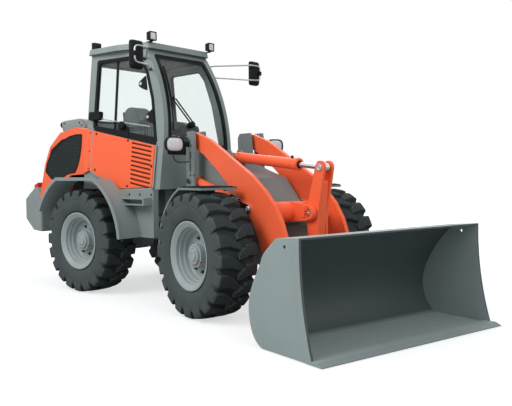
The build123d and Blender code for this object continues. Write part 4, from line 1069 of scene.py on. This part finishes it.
# Body: fender mats, door handle, tail lamps, bolts and window divider
def make_body_trim():
    """Fender mats, door handle, tail lamp lenses, bolts and the side window's divider."""
    mats = bmesh.new()
    for side in (-1, 1):
        near, far = side * 0.435, side * 0.795
        mat = [(1.87, 1.1145), (2.226, 1.1145), (2.226, 1.1225), (1.875, 1.1225)]
        slab(mats, rounded(mat, 0.003), near, far)
        for k in range(9):
            x = 1.895 + k * 0.036
            rib = [(x, 1.122), (x + 0.016, 1.122), (x + 0.013, 1.1275), (x + 0.003, 1.1275)]
            slab(mats, rib, near + side * 0.02, far - side * 0.02)
    piece("front_fender_mats", "front_body", BLACK, mats)
    left = MIRROR_Y @ SIDE
    mesh = bmesh.new()
    prism(mesh, box_outline(0.03, 0.075, 0.02, (0.965, -0.06)), 0.0005, 0.018, left, 0.004)
    prism(mesh, box_outline(0.011, 0.06, 0.01, (0.955, -0.06)), 0.016, 0.034, left, 0.004)
    piece("door_handle", "door", BLACK, mesh)
    mesh = bmesh.new()
    for side in (-1, 1):
        for y in (0.385, 0.43, 0.475):
            spot = toward((-1.3195, side * y, 1.055), (-1, 0, 0))
            lathe(mesh, [(-0.002, 0.02), (0.004, 0.018), (0.007, 0.01)], spot, 24)
    piece("tail_lamp_lenses", "rear_body", LENS, mesh)
    mesh = bmesh.new()
    for side in (-1, 1):
        for x, z in ((0.72, 1.03), (0.89, 1.03), (0.56, 1.03)):
            bolt(mesh, (x, side * 0.6115, z), (0, side, 0), 0.009, 0.007)
        for x in (0.56, 0.86):
            bolt(mesh, (x, side * 0.6365, 0.9625), (0, side, 0), 0.007, 0.006)
    piece("side_box_bolts", "rear_body", DARK_TRIM, mesh)
    mesh = bmesh.new()
    bar = [(0.405, 0.2), (0.427, 0.2), (0.427, 0.94), (0.405, 0.94)]
    prism(mesh, bar, -0.03, -0.012, SIDE)
    piece("side_window_divider", "rear_body", BLACK, mesh)


make_hood_grilles()
make_exhaust()
make_seat()
make_seat_trim()
make_pins()
make_cylinder_rings()
make_body_trim()


# Camera where the photograph was taken, in straight-frame metres and degrees
CAMERA_PLACE = (5.9771, -5.0813, 1.2504)
CAMERA_HEADING = 39.9085
CAMERA_HEIGHT_ANGLE = 2.6608
CAMERA_ROLL = -0.4959
FOCAL_PIXELS = 677.74
PHOTO_WIDTH = 512
SENSOR_WIDTH = 36


def place_camera():
    """Camera with its heading, height and roll turned into a matrix."""
    data = bpy.data.cameras.new("camera")
    eye = bpy.data.objects.new("camera", data)
    scene.collection.objects.link(eye)
    a, e, roll = (math.radians(angle) for angle in (CAMERA_HEADING, CAMERA_HEIGHT_ANGLE, CAMERA_ROLL))
    back = Vector((math.sin(a) * math.cos(e), -math.cos(a) * math.cos(e), math.sin(e)))
    right = Vector((math.cos(a), math.sin(a), 0))
    up = back.cross(right)
    level_right = right * math.cos(roll) + up * math.sin(roll)
    level_up = up * math.cos(roll) - right * math.sin(roll)
    turn = Matrix((level_right, level_up, back)).transposed()
    eye.matrix_world = Matrix.Translation(Vector(CAMERA_PLACE) - MIDDLE) @ turn.to_4x4()
    data.sensor_width = SENSOR_WIDTH
    data.lens = FOCAL_PIXELS / PHOTO_WIDTH * SENSOR_WIDTH
    data.clip_end = 100
    scene.camera = eye


# Floor, backdrop and light
WHITE = (1, 1, 1, 1)
FLOOR_HALF = 30
FLOOR_COLOUR = (0.42, 0.44, 0.44, 1)
FLOOR_GLOW = {"From Min": 2.5, "From Max": 7, "To Min": 0.62, "To Max": 1.0}
FILL_COLOUR = (0.92, 0.96, 1.0, 1)
FILL_STRENGTH = 0.55
# Place, size and power of each softbox, and the point they face
SOFTBOXES = (((-1.5, -6.5, 6.5), 4.5, 420), ((6, -1.5, 5), 4, 130), ((-4, 5, 6), 5, 160))
LIT_POINT = Vector((0, 0, 0.9))


def make_floor():
    """A floor that keeps the shadow and turns plain white away from the machine."""
    mesh = bpy.data.meshes.new("floor")
    corners = [(u * FLOOR_HALF, v * FLOOR_HALF, 0) for u, v in ((-1, -1), (1, -1), (1, 1), (-1, 1))]
    mesh.from_pydata(corners, [], [(0, 1, 2, 3)])
    floor = bpy.data.objects.new("floor", mesh)
    scene.collection.objects.link(floor)
    made, tree, bsdf = shader("floor_white")
    link = tree.links.new
    bsdf.inputs["Base Color"].default_value = FLOOR_COLOUR
    bsdf.inputs["Roughness"].default_value = 0.9
    glow = add_node(tree, "ShaderNodeEmission", {"Color": WHITE})
    ray = add_node(tree, "ShaderNodeLightPath")
    add = add_node(tree, "ShaderNodeAddShader")
    level = add_node(tree, "ShaderNodeMath", operation="MULTIPLY")
    where = add_node(tree, "ShaderNodeTexCoord")
    far = add_node(tree, "ShaderNodeVectorMath", operation="LENGTH")
    spread = add_node(tree, "ShaderNodeMapRange", FLOOR_GLOW)
    link(where.outputs["Object"], far.inputs[0])
    link(far.outputs["Value"], spread.inputs["Value"])
    link(ray.outputs["Is Camera Ray"], level.inputs[0])
    link(spread.outputs["Result"], level.inputs[1])
    link(level.outputs[0], glow.inputs["Strength"])
    link(bsdf.outputs["BSDF"], add.inputs[0])
    link(glow.outputs["Emission"], add.inputs[1])
    link(add.outputs["Shader"], tree.nodes["Material Output"].inputs["Surface"])
    mesh.materials.append(made)


def make_world():
    """Soft fill light, and plain white for the camera, the glass and reflections."""
    world = bpy.data.worlds.new("studio")
    scene.world = world
    world.use_nodes = True
    tree = world.node_tree
    link = tree.links.new
    fill = tree.nodes["Background"]
    fill.inputs["Color"].default_value = FILL_COLOUR
    fill.inputs["Strength"].default_value = FILL_STRENGTH
    plain = add_node(tree, "ShaderNodeBackground", {"Color": WHITE})
    ray = add_node(tree, "ShaderNodeLightPath")
    mix = add_node(tree, "ShaderNodeMixShader")
    share = ray.outputs["Is Camera Ray"]
    for kind in ("Is Transmission Ray", "Is Glossy Ray"):
        either = add_node(tree, "ShaderNodeMath", operation="MAXIMUM")
        link(share, either.inputs[0])
        link(ray.outputs[kind], either.inputs[1])
        share = either.outputs[0]
    link(share, mix.inputs["Fac"])
    link(fill.outputs["Background"], mix.inputs[1])
    link(plain.outputs["Background"], mix.inputs[2])
    link(mix.outputs["Shader"], tree.nodes["World Output"].inputs["Surface"])


def make_lamps():
    """Softboxes that face the machine."""
    for place, size, power in SOFTBOXES:
        lamp = bpy.data.lights.new("softbox", "AREA")
        lamp.size, lamp.energy = size, power
        holder = bpy.data.objects.new("softbox", lamp)
        scene.collection.objects.link(holder)
        holder.location = place
        aim = LIT_POINT - Vector(place)
        holder.rotation_euler = aim.to_track_quat("-Z", "Y").to_euler()


place_camera()
make_floor()
make_world()
make_lamps()

scene.view_settings.view_transform = "Standard"
